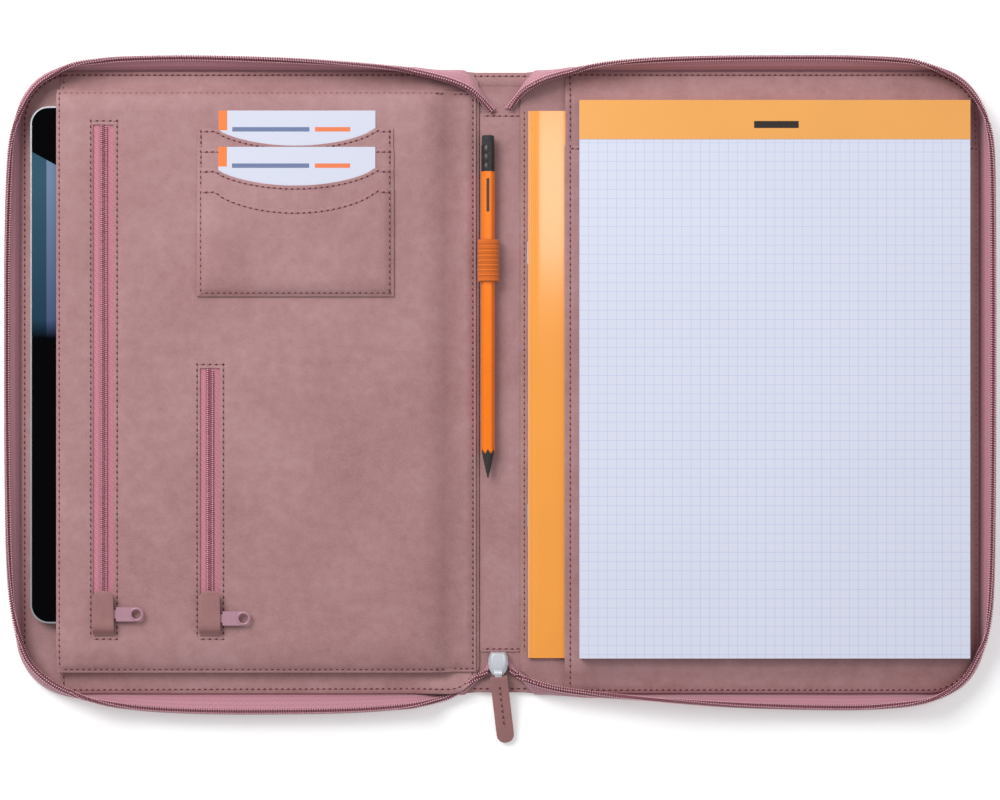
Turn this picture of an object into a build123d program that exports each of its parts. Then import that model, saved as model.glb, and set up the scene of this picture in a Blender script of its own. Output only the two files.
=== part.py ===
from build123d import *
from math import cos, exp, radians, sin, sqrt
import os

# A zip-around portfolio case lying open on a table, with its writing pad, booklet, pencil, cards and tablet.
# Millimetres. The origin is the middle of the spine's outer face, +Z is up, +Y is the top of the pad, and
# the left cover (tablet side) lies towards -X. Both covers fold up about the lines beside the spine.

# ---- driving sizes of the leather case ----
COVER_END = 260.0        # from the middle of the spine to a cover's outer edge
COVER_HALF = 169.0       # half the height of the case
CORNER_R = 28.0          # a cover's outer corners
SKIN_T = 1.0             # outer leather
BOARD_T = 1.9
LINING_T = 0.7
RIM_W = 2.2              # width of a turned leather edge
RIM_T = 0.6
LINING_INSET = 1.0       # the lining stops this far inside the outer leather
CLEAR = 0.05             # paper-thin gap between stacked layers
SHEET = 0.02

BOARD_Z = SKIN_T
LINING_Z = BOARD_Z + BOARD_T
TOP_Z = LINING_Z + LINING_T      # 3.6, the inside face that everything lies on

# ---- spine and folds: the covers fold about lines at x = 15, z = 3.5, which makes the closed case 37 mm thick ----
SPINE_HALF = 12.0        # stiff part of the spine
COVER_START = 17.0       # the stiff part of a cover starts here, and so does its zip tape
SPINE_Y = 168.0
STRIP_HALF = 11.0        # lining strip down the spine
STRIP_Y = 145.9
FACING_T = 0.6

# ---- perimeter zip: a leaning tape with the coil along its free edge ----
TAPE_T = 0.6
TAPE_FREE = 12.2         # width of tape that stands out of the seam
COIL_REACH = 13.45       # seam to the middle of the coil
COIL_W = 2.4
COIL_T = 2.6
SEAM_OUT = 0.6           # the tape leaves the seam this far outside the edge
SEAM_Z = 1.95
COIL_X = 268.0           # the coil's outline is a rounded rectangle, wider than the cover
COIL_Y = 176.0
COIL_CORNER = 58.0
DROP = 18.0              # towards the spine the coil swings inwards
DROP_LENGTH = 30.0
SEAM_END = 5.0           # the coil ends this far from the spine's middle

# ---- left cover: tablet pocket, zip pouch and card slots, as thin layers over the tablet ----
LEFT_EDGE = -15.3
TABLET = (-253.4, -38.5, -130.0, 149.0)
TABLET_Z = (3.7, 9.5)
GLASS_Z = (9.52, 9.95)
TABLET_R = 10.0
TABLET_HOLLOW = (8.0, 2.0)       # wall round the space under the glass, and its depth
TABLET_FOOT = (-275.0, -25.5, -163.0, 163.0)
TABLET_RIDGE = (-275.0, -36.0, -140.0, 153.0)
TABLET_FRONT = (-237.6, LEFT_EDGE, -167.0, 167.0)
FRONT_CORNER_R = 9.0     # its two corners at the spine
POUCH = (-239.0, LEFT_EDGE, -156.5, 157.5)
POUCH_RIM = 2.5
LONG_WINDOW = (-219.0, -208.0, -135.5, 138.6)
SHORT_WINDOW = (-161.4, -150.8, -135.5, 7.5)
LONG_COIL_X = -213.2
SHORT_COIL_X = -156.0
POCKET_COIL_W = 4.5
CARD_POCKET = (-162.7, -57.4, 46.2, 136.7)
CARD = (84.4, 55.0, 0.5)
CARD_X = -109.2

# ---- right cover: booklet, pad panel, pad pocket and writing pad ----
BOOKLET = (15.1, 225.1, -149.0, 146.8)
BOOKLET_Z = (3.7, 6.15)
PAD_PANEL = (35.4, 258.0, -166.0, 166.0)
PAD_POCKET = (35.9, 257.6, -165.5, 128.0)
PAD_FOOT = (0.0, 257.5, -163.0, 163.0)
PAD_RIDGE = (0.0, 254.0, -152.0, 152.0)
PAD_PANEL_R = 25.0       # the panels follow the cover's rounded corners
PAD = (42.7, 252.7, -148.4, 151.3)
HEADER_H = 21.0

# ---- pencil, loop, sliders ----
PENCIL_X = -6.5
PENCIL_Z = 8.6
PENCIL_FLATS = 6.9
PENCIL_CORNERS = 7.4
LOOP_X = -6.25
LOOP_Y = (54.6, 76.8)
SLIDER_POST_R = 1.45
PULL_X = -1.0
PULL_Y = -157.0
PULL_Z = 9.4

os.makedirs("parts", exist_ok=True)


def save(piece, name):
    piece.part.label = name
    export_step(piece.part, f"parts/{name}.step")


def patch(area):
    """A rectangle given as (left, right, bottom, top), inside a sketch."""
    left, right, bottom, top = area
    with Locations(((left + right) / 2, (bottom + top) / 2)):
        Rectangle(right - left, top - bottom)


def slab(area, z0, z1):
    """A flat block over an area."""
    with BuildPart() as block:
        with BuildSketch(Plane.XY.offset(z0)):
            patch(area)
        extrude(amount=z1 - z0)
    return block


def cover_plate(side, inset, z0, thickness):
    """A cover's outline, square at the fold and rounded at its two outer corners."""
    end = COVER_END - inset
    half = COVER_HALF - inset
    area = (COVER_START, end, -half, half)
    if side < 0:
        area = (-end, -COVER_START, -half, half)
    with BuildPart() as plate:
        with BuildSketch(Plane.XY.offset(z0)) as outline:
            patch(area)
            outer = outline.vertices().group_by(Axis.X)[-1 if side > 0 else 0]
            fillet(outer, CORNER_R - inset)
        extrude(amount=thickness)
    return plate


def cover_rim(side, inset, z0, thickness):
    """A leather edge turned over along a cover's three outer sides."""
    with BuildPart() as rim:
        add(cover_plate(side, inset, z0, thickness).part)
        add(cover_plate(side, inset + RIM_W, z0, thickness).part, mode=Mode.SUBTRACT)
    return rim


# =====================================================================================
# Covers: outer leather, board and lining
# =====================================================================================


def cover(side, word):
    with BuildPart() as skin:
        add(cover_plate(side, 0, 0, SKIN_T).part)
        add(cover_rim(side, 0, SKIN_T, RIM_T).part)
    save(skin, f"{word}_outer_skin")

    board = cover_plate(side, RIM_W + 0.4, BOARD_Z, BOARD_T)
    save(board, f"{word}_board")

    with BuildPart() as lining:
        add(cover_plate(side, LINING_INSET, LINING_Z, LINING_T).part)
        lower = cover_rim(side, LINING_INSET, LINING_Z - RIM_T, RIM_T)
        add(lower.part)
        add(board.part, mode=Mode.SUBTRACT)
    save(lining, f"{word}_lining")


# =====================================================================================
# Perimeter zip
# =====================================================================================


def coil_offset(x):
    """How far outside the cover's long edge the coil stands, at a distance x from the spine's middle."""
    straight = COIL_X - COIL_CORNER
    if x <= straight:
        y = COIL_Y - DROP * exp(-(x - SEAM_END) / DROP_LENGTH)
    else:
        y = COIL_Y - COIL_CORNER + sqrt(COIL_CORNER**2 - (x - straight) ** 2)
    return y - COVER_HALF


def corner_offset(angle):
    """The same along the rounded corner, on the ray from the corner's centre at an angle above +X."""
    across = COVER_END - CORNER_R - (COIL_X - COIL_CORNER)
    along = COVER_HALF - CORNER_R - (COIL_Y - COIL_CORNER)
    towards = across * cos(radians(angle)) + along * sin(radians(angle))
    reach = -towards + sqrt(towards**2 - across**2 - along**2 + COIL_CORNER**2)
    return reach - CORNER_R


def side_offset(y):
    """The same along the cover's short outer edge, at a height y."""
    start = COIL_Y - COIL_CORNER
    return COIL_X - COIL_CORNER + sqrt(COIL_CORNER**2 - (y - start) ** 2) - COVER_END


def zip_stations():
    """(point on the edge, outward direction, coil offset) round the right cover, from the top fold to the bottom."""
    corner_x = COVER_END - CORNER_R
    corner_y = COVER_HALF - CORNER_R
    stations = []
    for x in (COVER_START, 27, 38, 55, 80, 120, COIL_X - COIL_CORNER, 221, corner_x):
        stations.append((x, COVER_HALF, 0, 1, coil_offset(x)))
    for angle in (75, 60, 45, 30, 15):
        nx = cos(radians(angle))
        ny = sin(radians(angle))
        point = (corner_x + CORNER_R * nx, corner_y + CORNER_R * ny)
        stations.append((*point, nx, ny, corner_offset(angle)))
    for y in (corner_y, (corner_y + COIL_Y - COIL_CORNER) / 2, COIL_Y - COIL_CORNER):
        stations.append((COVER_END, y, 1, 0, side_offset(y)))
    lower = [(x, -y, nx, -ny, d) for x, y, nx, ny, d in reversed(stations)]
    return stations + lower


def lean(offset):
    """Unit vectors along the standing tape and across it, in (outwards, up), for a coil offset."""
    out = (offset - SEAM_OUT) / COIL_REACH
    up = sqrt(1 - out**2)
    return (out, up), (-up, out)


def on_tape(along, across, reach, depth):
    """A point of the tape's section: reach along it from the seam, and depth towards its inner face."""
    return (
        SEAM_OUT + reach * along[0] + depth * across[0],
        SEAM_Z + reach * along[1] + depth * across[1],
    )


def zip_side(side, word):
    stations = [(side * x, y, side * nx, ny, d) for x, y, nx, ny, d in zip_stations()]
    half = TAPE_T / 2
    with BuildPart() as tape:
        for x, y, nx, ny, offset in stations:
            along, across = lean(offset)
            with BuildSketch(Plane((x, y, 0), x_dir=(nx, ny, 0), z_dir=(ny, -nx, 0))):
                with BuildLine():
                    Polyline(
                        (-RIM_W, SEAM_Z - half),
                        (SEAM_OUT + half, SEAM_Z - half),
                        on_tape(along, across, TAPE_FREE, -half),
                        on_tape(along, across, TAPE_FREE, half),
                        (SEAM_OUT - half, SEAM_Z + half),
                        (-RIM_W, SEAM_Z + half),
                        close=True,
                    )
                make_face()
        loft(ruled=True)
    save(tape, f"{word}_zip_tape")

    near = TAPE_FREE + CLEAR
    far = near + COIL_W
    with BuildPart() as coil:
        for x, y, nx, ny, offset in stations:
            along, across = lean(offset)
            with BuildSketch(Plane((x, y, 0), x_dir=(nx, ny, 0), z_dir=(ny, -nx, 0))):
                with BuildLine():
                    Polyline(
                        on_tape(along, across, near, -COIL_T / 2),
                        on_tape(along, across, far, -COIL_T / 2),
                        on_tape(along, across, far, COIL_T / 2),
                        on_tape(along, across, near, COIL_T / 2),
                        close=True,
                    )
                make_face()
        loft(ruled=True)
    save(coil, f"{word}_zip_coil")


def zip_end(name, side, up, stops):
    """The tape's tail across the fold: it comes off the edge and dives towards the end of the spine strip.

    stops are (x, y, z) of the sewn edge and (x, y, z) of the free edge, on the right, for the top.
    """
    with BuildPart() as tail:
        for low, high in stops:
            low = Vector(side * low[0], up * low[1], low[2])
            high = Vector(side * high[0], up * high[1], high[2])
            rise = (high - low).normalized()
            run = Vector(side, 0, 0) if low.X == side * COVER_START else Vector(side * 0.6, up * 0.8, 0)
            normal = run.cross(rise).normalized()
            with BuildSketch(Plane(low, x_dir=rise, z_dir=rise.cross(normal))):
                patch((0, (high - low).length, -TAPE_T / 2, TAPE_T / 2))
        loft(ruled=True)
    save(tail, name)


def zip_ends():
    seam = COVER_HALF + SEAM_OUT
    along, _ = lean(coil_offset(COVER_START))
    first = (
        (COVER_START, seam, SEAM_Z),
        (COVER_START, seam + TAPE_FREE * along[0], SEAM_Z + TAPE_FREE * along[1]),
    )
    top = (first, ((12.0, 161.5, 4.0), (11.0, 157.0, 10.5)), ((5.6, 150.0, 4.0), (4.8, 148.6, 6.6)))
    bottom = (first, ((14.0, 164.5, 4.0), (13.0, 161.0, 10.5)), ((9.6, 160.0, 4.0), (8.8, 158.0, 6.6)))
    for side, word in ((-1, "left"), (1, "right")):
        zip_end(f"zip_end_top_{word}", side, 1, top)
        zip_end(f"zip_end_bottom_{word}", side, -1, bottom)


# =====================================================================================
# Sewn panels: low roofs, flat on top and sloping down to their seams
# =====================================================================================


def roof(area, foot, ridge, floor_z, foot_z, ridge_z, corner_r=0.0):
    """The solid under a panel: flat outside foot, sloping up to ridge, cut to an area.

    corner_r rounds the area's two corners at its right-hand end.
    """
    with BuildPart() as solid:
        with BuildSketch(Plane.XY.offset(floor_z)):
            patch(area)
        extrude(amount=foot_z - floor_z)
        with BuildSketch(Plane.XY.offset(foot_z)):
            patch(foot)
        with BuildSketch(Plane.XY.offset(ridge_z)):
            patch(ridge)
        loft()
        with BuildSketch(Plane.XY.offset(floor_z)) as outline:
            patch(area)
            if corner_r:
                fillet(outline.vertices().group_by(Axis.X)[-1], corner_r)
        extrude(amount=ridge_z - floor_z, mode=Mode.INTERSECT)
    return solid


def shell(area, foot, ridge, low, high, corner_r=0.0):
    """A panel between two roofs; low and high are (foot height, ridge height)."""
    left, right, bottom, top = area
    wide = (left - 5, right + 5, bottom - 5, top + 5)
    with BuildPart() as panel:
        add(roof(area, foot, ridge, low[0], high[0], high[1], corner_r).part)
        add(roof(wide, foot, ridge, low[0] - 1, low[0], low[1]).part, mode=Mode.SUBTRACT)
    return panel


def left_panels():
    # the panel that holds the tablet, open towards the outer edge
    front_low = (TOP_Z + SHEET, 10.1)
    front_high = (front_low[0] + LINING_T, front_low[1] + LINING_T)
    front = shell(TABLET_FRONT, TABLET_FOOT, TABLET_RIDGE, front_low, front_high, FRONT_CORNER_R)
    save(front, "tablet_pocket_front")

    # the zip pouch: a thin back, and a front that closes on it along its rim
    back_low = (front_high[0] + CLEAR, front_high[1] + CLEAR)
    back_high = (back_low[0] + 0.5, back_low[1] + 0.5)
    save(shell(POUCH, TABLET_FOOT, TABLET_RIDGE, back_low, back_high), "pouch_back")

    rim_low = (back_high[0] + CLEAR, back_high[1] + CLEAR)
    lining_low = (rim_low[0], rim_low[1] + 1.15)
    lining_high = (lining_low[0] + LINING_T, lining_low[1] + LINING_T)
    left, right, bottom, top = POUCH
    inner = (left + POUCH_RIM, right - POUCH_RIM, bottom + POUCH_RIM, top - POUCH_RIM)
    hollow = roof(inner, TABLET_FOOT, TABLET_RIDGE, rim_low[0] - 1, lining_low[0], lining_low[1])
    with BuildPart() as pouch:
        add(shell(POUCH, TABLET_FOOT, TABLET_RIDGE, rim_low, lining_high).part)
        add(hollow.part, mode=Mode.SUBTRACT)
        for window in (LONG_WINDOW, SHORT_WINDOW):
            add(slab(window, lining_low[1] - 1, lining_high[1] + 1).part, mode=Mode.SUBTRACT)
    save(pouch, "pouch_front")
    return lining_low[1], lining_high[1]


# =====================================================================================
# The two pouch zips: tape, coil, slider, puller and the leather garage over the slider
# =====================================================================================

SLIDER_L = 13.0
SLIDER_W = 9.0
PULLER_T = 1.0


def pouch_zip(word, window, coil_x, slider_y, puller, under_z, face_z):
    """puller is (length from its pivot to its round end, width, diameter of its hole)."""
    left, right, bottom, top = window
    tape_z = under_z - CLEAR - 0.5
    save(slab((left - 3, right + 3, bottom - 3, top + 3), tape_z, tape_z + 0.5), f"{word}_zip_tape")

    coil_z = tape_z + 0.5 + CLEAR
    half = POCKET_COIL_W / 2
    coil_top = coil_z + 1.4
    area = (coil_x - half, coil_x + half, bottom + 0.5, top - 0.5)
    save(slab(area, coil_z, coil_top), f"{word}_zip_coil")

    # slider: a plate over the coil, a flange down each side of it, and a round post for the puller
    plate_z = coil_top + CLEAR
    plate_top = plate_z + 1.5
    with BuildPart() as slider:
        with BuildSketch(Plane.XY.offset(plate_z)) as outline:
            with Locations((coil_x, slider_y)):
                Rectangle(SLIDER_W, SLIDER_L)
            fillet(outline.vertices(), 2.6)
        extrude(amount=1.5)
        for sign in (-1, 1):
            inner = coil_x + sign * (half + 0.4)
            outer = coil_x + sign * (SLIDER_W / 2)
            flange = (min(inner, outer), max(inner, outer), slider_y - 3.6, slider_y + 3.6)
            add(slab(flange, coil_z, plate_z + 0.1).part)
        with BuildSketch(Plane.XY.offset(plate_top)):
            with Locations((coil_x, slider_y)):
                Circle(SLIDER_POST_R)
        extrude(amount=PULLER_T + 0.15)
    save(slider, f"{word}_zip_slider")

    # puller: a round eye on the post, a narrow neck, and a flat paddle with a round end and a hole
    length, width, hole = puller
    puller_z = plate_top + 0.08
    with BuildPart() as tab:
        with BuildSketch(Plane.XY.offset(puller_z)):
            with Locations((coil_x, slider_y)):
                Circle(3.0)
            patch((coil_x, coil_x + 8.5, slider_y - 2.2, slider_y + 2.2))
            end_x = coil_x + length - width / 2
            patch((coil_x + 7.0, end_x, slider_y - width / 2, slider_y + width / 2))
            with Locations((end_x, slider_y)):
                Circle(width / 2)
            with Locations((coil_x, slider_y)):
                Circle(SLIDER_POST_R + 0.05, mode=Mode.SUBTRACT)
            with Locations((end_x, slider_y)):
                Circle(hole / 2, mode=Mode.SUBTRACT)
        extrude(amount=PULLER_T)
    save(tab, f"{word}_zip_puller")

    # garage: a leather flap over the parked slider, free on three sides and standing on its sewn end
    flap_z = puller_z + PULLER_T + 0.3
    flap = (coil_x - 6.8, coil_x + 6.0, bottom - 0.2, bottom + 23.5)
    with BuildPart() as garage:
        with BuildSketch(Plane.XY.offset(flap_z)) as outline:
            patch(flap)
            fillet(outline.vertices().group_by(Axis.Y)[-1], 4.0)
        extrude(amount=0.8)
        wall = (flap[0], flap[1], flap[2] - 1.6, flap[2])
        add(slab(wall, face_z + CLEAR, flap_z + 0.8).part)
    save(garage, f"{word}_zip_garage")


# =====================================================================================
# Card slots: four stepped layers, three with a thumb dip
# =====================================================================================


def card_slots(base_z):
    left, right, bottom, top = CARD_POCKET
    rim = 2.2
    thickness = 0.5
    z = base_z + CLEAR
    # (name, top edge, depth of the thumb dip, slot height, card: (name, top edge) or None)
    layers = (
        ("a", top, 9.4, 0.6, ("card_upper", 146.2)),
        ("b", top - 11.0, 0.0, 0.1, None),
        ("c", top - 21.7, 9.3, 0.6, ("card_lower", 126.5)),
        ("d", top - 32.8, 11.2, 0.1, None),
    )
    for word, edge, dip, gap, card in layers:
        floor = bottom + rim
        if card:
            floor = card[1] - CARD[1] - 0.3
        with BuildPart() as layer:
            with BuildSketch(Plane.XY.offset(z)):
                patch((left, right, bottom, edge))
                if dip:
                    with BuildLine():
                        ThreePointArc(
                            (left + 10, edge), ((left + right) / 2, edge - dip), (right - 10, edge)
                        )
                        Line((right - 10, edge), (left + 10, edge))
                    make_face(mode=Mode.SUBTRACT)
            extrude(amount=gap + thickness)
            add(slab((left + rim, right - rim, floor, top + 20), z - 1, z + gap).part, mode=Mode.SUBTRACT)
        save(layer, f"card_slot_{word}")
        if card:
            half = CARD[0] / 2
            area = (CARD_X - half, CARD_X + half, card[1] - CARD[1], card[1])
            save(slab(area, z + CLEAR, z + CLEAR + CARD[2]), card[0])
        z += gap + thickness + CLEAR


# =====================================================================================
# Tablet
# =====================================================================================


def tablet():
    with BuildPart() as body:
        with BuildSketch(Plane.XY.offset(TABLET_Z[0])) as outline:
            patch(TABLET)
            fillet(outline.vertices(), TABLET_R)
        extrude(amount=TABLET_Z[1] - TABLET_Z[0])
        fillet(body.faces().sort_by(Axis.Z)[0].edges(), 1.5)
        left, right, bottom, top = TABLET
        wall, depth = TABLET_HOLLOW
        inside = (left + wall, right - wall, bottom + wall, top - wall)
        add(slab(inside, TABLET_Z[1] - depth, TABLET_Z[1] + 1).part, mode=Mode.SUBTRACT)
    save(body, "tablet_body")

    bezel = 0.9
    with BuildPart() as glass:
        with BuildSketch(Plane.XY.offset(GLASS_Z[0])) as outline:
            patch((left + bezel, right - bezel, bottom + bezel, top - bezel))
            fillet(outline.vertices(), TABLET_R - bezel)
        extrude(amount=GLASS_Z[1] - GLASS_Z[0])
    save(glass, "tablet_glass")


# =====================================================================================
# Right cover: booklet, pad panel, pad pocket and pad
# =====================================================================================


def right_panels():
    panel_low = (TOP_Z + SHEET, 6.4)
    panel_high = (panel_low[0] + LINING_T, panel_low[1] + LINING_T)
    save(shell(PAD_PANEL, PAD_FOOT, PAD_RIDGE, panel_low, panel_high, PAD_PANEL_R), "right_pad_panel")

    rim_low = (panel_high[0] + CLEAR, panel_high[1] + CLEAR)
    front_low = (rim_low[0], rim_low[1] + 0.85)
    front_high = (front_low[0] + LINING_T, front_low[1] + LINING_T)
    left, right, bottom, top = PAD_POCKET
    inner = (left + 2.5, right - 2.5, bottom + 2.5, top + 5)
    hollow = roof(inner, PAD_FOOT, PAD_RIDGE, rim_low[0] - 1, front_low[0], front_low[1])
    # only its two lower corners reach the cover's rounding, so the upper edge is cut after
    whole = (left, right, bottom, -bottom)
    pocket_sheet = shell(whole, PAD_FOOT, PAD_RIDGE, rim_low, front_high, PAD_PANEL_R)
    with BuildPart() as pocket:
        add(pocket_sheet.part)
        add(slab((left - 5, right + 5, top, -bottom + 5), 0, TOP_Z + 20).part, mode=Mode.SUBTRACT)
        add(hollow.part, mode=Mode.SUBTRACT)
    save(pocket, "pad_pocket_front")
    return rim_low[1], front_high[1]


def booklet():
    left, right, bottom, top = BOOKLET
    low, high = BOOKLET_Z
    paper = 0.25
    with BuildPart() as wrapper:
        add(slab(BOOKLET, low, high).part)
        inside = (left + paper, right + 5, bottom - 5, top + 5)
        add(slab(inside, low + paper, high - paper).part, mode=Mode.SUBTRACT)
    save(wrapper, "booklet_cover")

    area = (left + paper + CLEAR, right - 0.3, bottom + 0.2, top - 0.2)
    save(slab(area, low + paper + CLEAR, high - paper - CLEAR), "booklet_pages")

    wire = 0.4
    middle = (low + high) / 2
    with BuildPart() as staples:
        for y in (-72.0, 70.0):
            add(slab((left - wire, left, y - 6, y + 6), middle - wire / 2, middle + wire / 2).part)
    save(staples, "booklet_staples")


def pad(pocket_z, front_z):
    left, right, bottom, top = PAD
    board_z = pocket_z + CLEAR
    board_top = board_z + 0.7
    save(slab((left + 0.3, right - 0.3, bottom + 0.4, top), board_z, board_top), "pad_back_board")

    sheets_z = front_z + 0.1
    sheets_top = sheets_z + 6.7
    save(slab(PAD, sheets_z, sheets_top), "pad_sheets")

    head = (left, right, top - HEADER_H + 0.4, top)
    cap = (left, right, head[2], top + 0.4)
    with BuildPart() as header:
        add(slab(cap, board_top + CLEAR, sheets_top + 0.25).part)
        inside = (left - 1, right + 1, head[2] - 1, top + SHEET)
        add(slab(inside, sheets_z - SHEET, sheets_top + SHEET).part, mode=Mode.SUBTRACT)
    save(header, "pad_header")


# =====================================================================================
# Spine: skin, board, lining strip, end facings, fold strips, loop, main slider and strap
# =====================================================================================


def spine():
    save(slab((-SPINE_HALF, SPINE_HALF, -SPINE_Y, SPINE_Y), 0, SKIN_T), "spine_outer_skin")
    facing_z = LINING_Z - FACING_T
    save(slab((-SPINE_HALF + 1, SPINE_HALF - 1, -SPINE_Y + 3, SPINE_Y - 3), SKIN_T, facing_z), "spine_board")

    with BuildPart() as strip:
        with BuildSketch(Plane.XY.offset(facing_z)) as outline:
            patch((-STRIP_HALF, STRIP_HALF, -STRIP_Y, STRIP_Y))
            fillet(outline.vertices(), 1.5)
        extrude(amount=TOP_Z - facing_z)
    save(strip, "spine_lining")

    for word, sign in (("top", 1), ("bottom", -1)):
        ends = sorted((sign * (STRIP_Y + 0.1), sign * SPINE_Y))
        save(slab((-SPINE_HALF, SPINE_HALF, *ends), facing_z, LINING_Z), f"spine_facing_{word}")

    for word, sign in (("left", -1), ("right", 1)):
        skin_x = sorted((sign * SPINE_HALF, sign * COVER_START))
        save(slab((*skin_x, -SPINE_Y, SPINE_Y), 0, SKIN_T), f"{word}_fold_skin")
        lining_x = sorted((sign * STRIP_HALF, sign * COVER_START))
        save(slab((*lining_x, -STRIP_Y, STRIP_Y), LINING_Z, TOP_Z), f"{word}_fold_lining")


def pen_loop():
    outer = (5.75, 4.95)
    wall = 0.7
    with BuildPart() as loop:
        with BuildSketch(Plane.XZ.offset(-LOOP_Y[1])):
            with Locations((LOOP_X, PENCIL_Z)):
                Ellipse(*outer)
                Ellipse(outer[0] - wall, outer[1] - wall, mode=Mode.SUBTRACT)
        extrude(amount=LOOP_Y[1] - LOOP_Y[0])
    save(loop, "pen_loop")


def pencil():
    ends = {"point": -48.6, "cone": -37.0, "body": 113.8, "ferrule": 128.0, "eraser": 133.3}
    with BuildPart() as body:
        with BuildSketch(Plane.XZ.offset(-ends["body"])):
            with Locations((PENCIL_X, PENCIL_Z)):
                RegularPolygon(PENCIL_FLATS / 2, 6, major_radius=False)
                Circle(PENCIL_CORNERS / 2, mode=Mode.INTERSECT)
        extrude(amount=ends["body"] - ends["cone"])
        with BuildSketch(Plane.XZ.offset(-ends["cone"])):
            with Locations((PENCIL_X, PENCIL_Z)):
                Circle(PENCIL_FLATS / 2 - 0.05)
        with BuildSketch(Plane.XZ.offset(-ends["point"])):
            with Locations((PENCIL_X, PENCIL_Z)):
                Circle(1.0)
        loft()
    save(body, "pencil_body")

    with BuildPart() as lead:
        with BuildSketch(Plane.XZ.offset(-ends["point"])):
            with Locations((PENCIL_X, PENCIL_Z)):
                Circle(0.95)
        with BuildSketch(Plane.XZ.offset(-ends["point"] + 3.0)):
            with Locations((PENCIL_X, PENCIL_Z)):
                Circle(0.25)
        loft()
    save(lead, "pencil_lead")

    for word, start, stop, radius in (
        ("ferrule", ends["body"], ends["ferrule"], 3.6),
        ("eraser", ends["ferrule"], ends["eraser"], 3.3),
    ):
        with BuildPart() as piece:
            with BuildSketch(Plane.XZ.offset(-stop)):
                with Locations((PENCIL_X, PENCIL_Z)):
                    Circle(radius)
            extrude(amount=stop - start)
            if word == "eraser":
                fillet(piece.edges().group_by(Axis.Y)[-1], 0.8)
        save(piece, f"pencil_{word}")


def main_slider():
    """A shield-shaped slider with two ears and a pin, and the leather strap that turns on it."""
    foot_z = 4.4
    plate_z = 8.0
    with BuildPart() as slider:
        with BuildSketch(Plane.XY.offset(foot_z)) as outline:
            with BuildLine():
                Polyline(
                    (PULL_X - 4.0, -145.8),
                    (PULL_X + 4.0, -145.8),
                    (PULL_X + 5.5, -150.2),
                    (PULL_X + 3.2, -158.3),
                    (PULL_X - 3.2, -158.3),
                    (PULL_X - 5.5, -150.2),
                    close=True,
                )
            make_face()
            fillet(outline.vertices(), 1.4)
        extrude(amount=plate_z - foot_z)
        for sign in (-1, 1):
            ear = sorted((PULL_X + sign * 2.3, PULL_X + sign * 3.3))
            add(slab((*ear, PULL_Y - 1.2, PULL_Y + 5.0), plate_z - 0.1, PULL_Z + 1.2).part)
        with BuildSketch(Plane.YZ.offset(PULL_X - 3.0)):
            with Locations((PULL_Y, PULL_Z)):
                Circle(0.8)
        extrude(amount=6.0)
    save(slider, "main_zip_slider")

    # the strap leaves the pin, droops to the table and swings slightly to the right
    way = Vector(4.4, -38.4, -7.8).normalized()
    above = Vector(1, 0, 0).cross(way).normalized() * -1
    middle = Vector(PULL_X, PULL_Y, PULL_Z)
    with BuildPart() as link:
        with BuildSketch(Plane.YZ.offset(PULL_X - 2.1)):
            with Locations((PULL_Y, PULL_Z)):
                Circle(1.3)
        extrude(amount=4.2)
        with BuildSketch(Plane(middle, x_dir=way, z_dir=above)):
            patch((1.0, 4.2, -1.8, 1.8))
        extrude(amount=0.6, both=True)
        with BuildSketch(Plane.YZ.offset(PULL_X - 2.1)):
            with Locations((PULL_Y, PULL_Z)):
                Circle(0.85)
        extrude(amount=4.2, mode=Mode.SUBTRACT)
    save(link, "main_pull_link")

    with BuildPart() as strap:
        with BuildSketch(Plane(middle, x_dir=way, z_dir=above)) as outline:
            patch((4.25, 39.0, -4.7, 4.7))
            fillet(outline.vertices().sort_by_distance(middle + way * 45)[:2], 4.0)
        extrude(amount=1.4, both=True)
    save(strap, "main_pull_strap")


cover(-1, "left")
cover(1, "right")
zip_side(-1, "left")
zip_side(1, "right")
zip_ends()
under_front_z, pouch_face_z = left_panels()
long_puller = (21.7, 7.6, 5.0)
short_puller = (22.0, 7.6, 5.0)
pouch_zip("long", LONG_WINDOW, LONG_COIL_X, -124.6, long_puller, under_front_z, pouch_face_z)
pouch_zip("short", SHORT_WINDOW, SHORT_COIL_X, -126.8, short_puller, under_front_z, pouch_face_z)
card_slots(pouch_face_z)
tablet()
pad_pocket_z, pad_front_z = right_panels()
booklet()
pad(pad_pocket_z, pad_front_z)
spine()
pen_loop()
pencil()
main_slider()
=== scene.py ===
from math import atan2, cos, exp, pi, radians, sin, sqrt

import bpy
import numpy as np
from mathutils import Matrix, Vector, noise


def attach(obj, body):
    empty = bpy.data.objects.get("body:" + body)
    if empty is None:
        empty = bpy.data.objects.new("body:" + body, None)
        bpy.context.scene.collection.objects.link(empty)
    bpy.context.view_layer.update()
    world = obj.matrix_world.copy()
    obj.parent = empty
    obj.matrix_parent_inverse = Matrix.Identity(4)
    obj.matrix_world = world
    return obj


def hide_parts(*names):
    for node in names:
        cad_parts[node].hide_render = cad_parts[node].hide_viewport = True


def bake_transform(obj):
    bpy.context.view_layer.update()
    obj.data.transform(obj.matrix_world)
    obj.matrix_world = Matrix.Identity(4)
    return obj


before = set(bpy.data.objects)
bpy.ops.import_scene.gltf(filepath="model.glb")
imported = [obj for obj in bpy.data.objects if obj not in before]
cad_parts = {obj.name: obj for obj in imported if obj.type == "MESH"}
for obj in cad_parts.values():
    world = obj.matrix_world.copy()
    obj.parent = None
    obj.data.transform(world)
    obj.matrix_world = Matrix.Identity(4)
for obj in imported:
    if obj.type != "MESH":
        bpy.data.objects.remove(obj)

bl_info = {
    "name": "Zip-around portfolio case",
    "version": (1, 0, 0),
    "blender": (4, 5, 0),
    "location": "3D View > Sidebar > Portfolio",
    "description": "Builds the leather, zips, stitching and contents of an open case round its fixed frame",
    "category": "Object",
}

MM = 0.001

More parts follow.
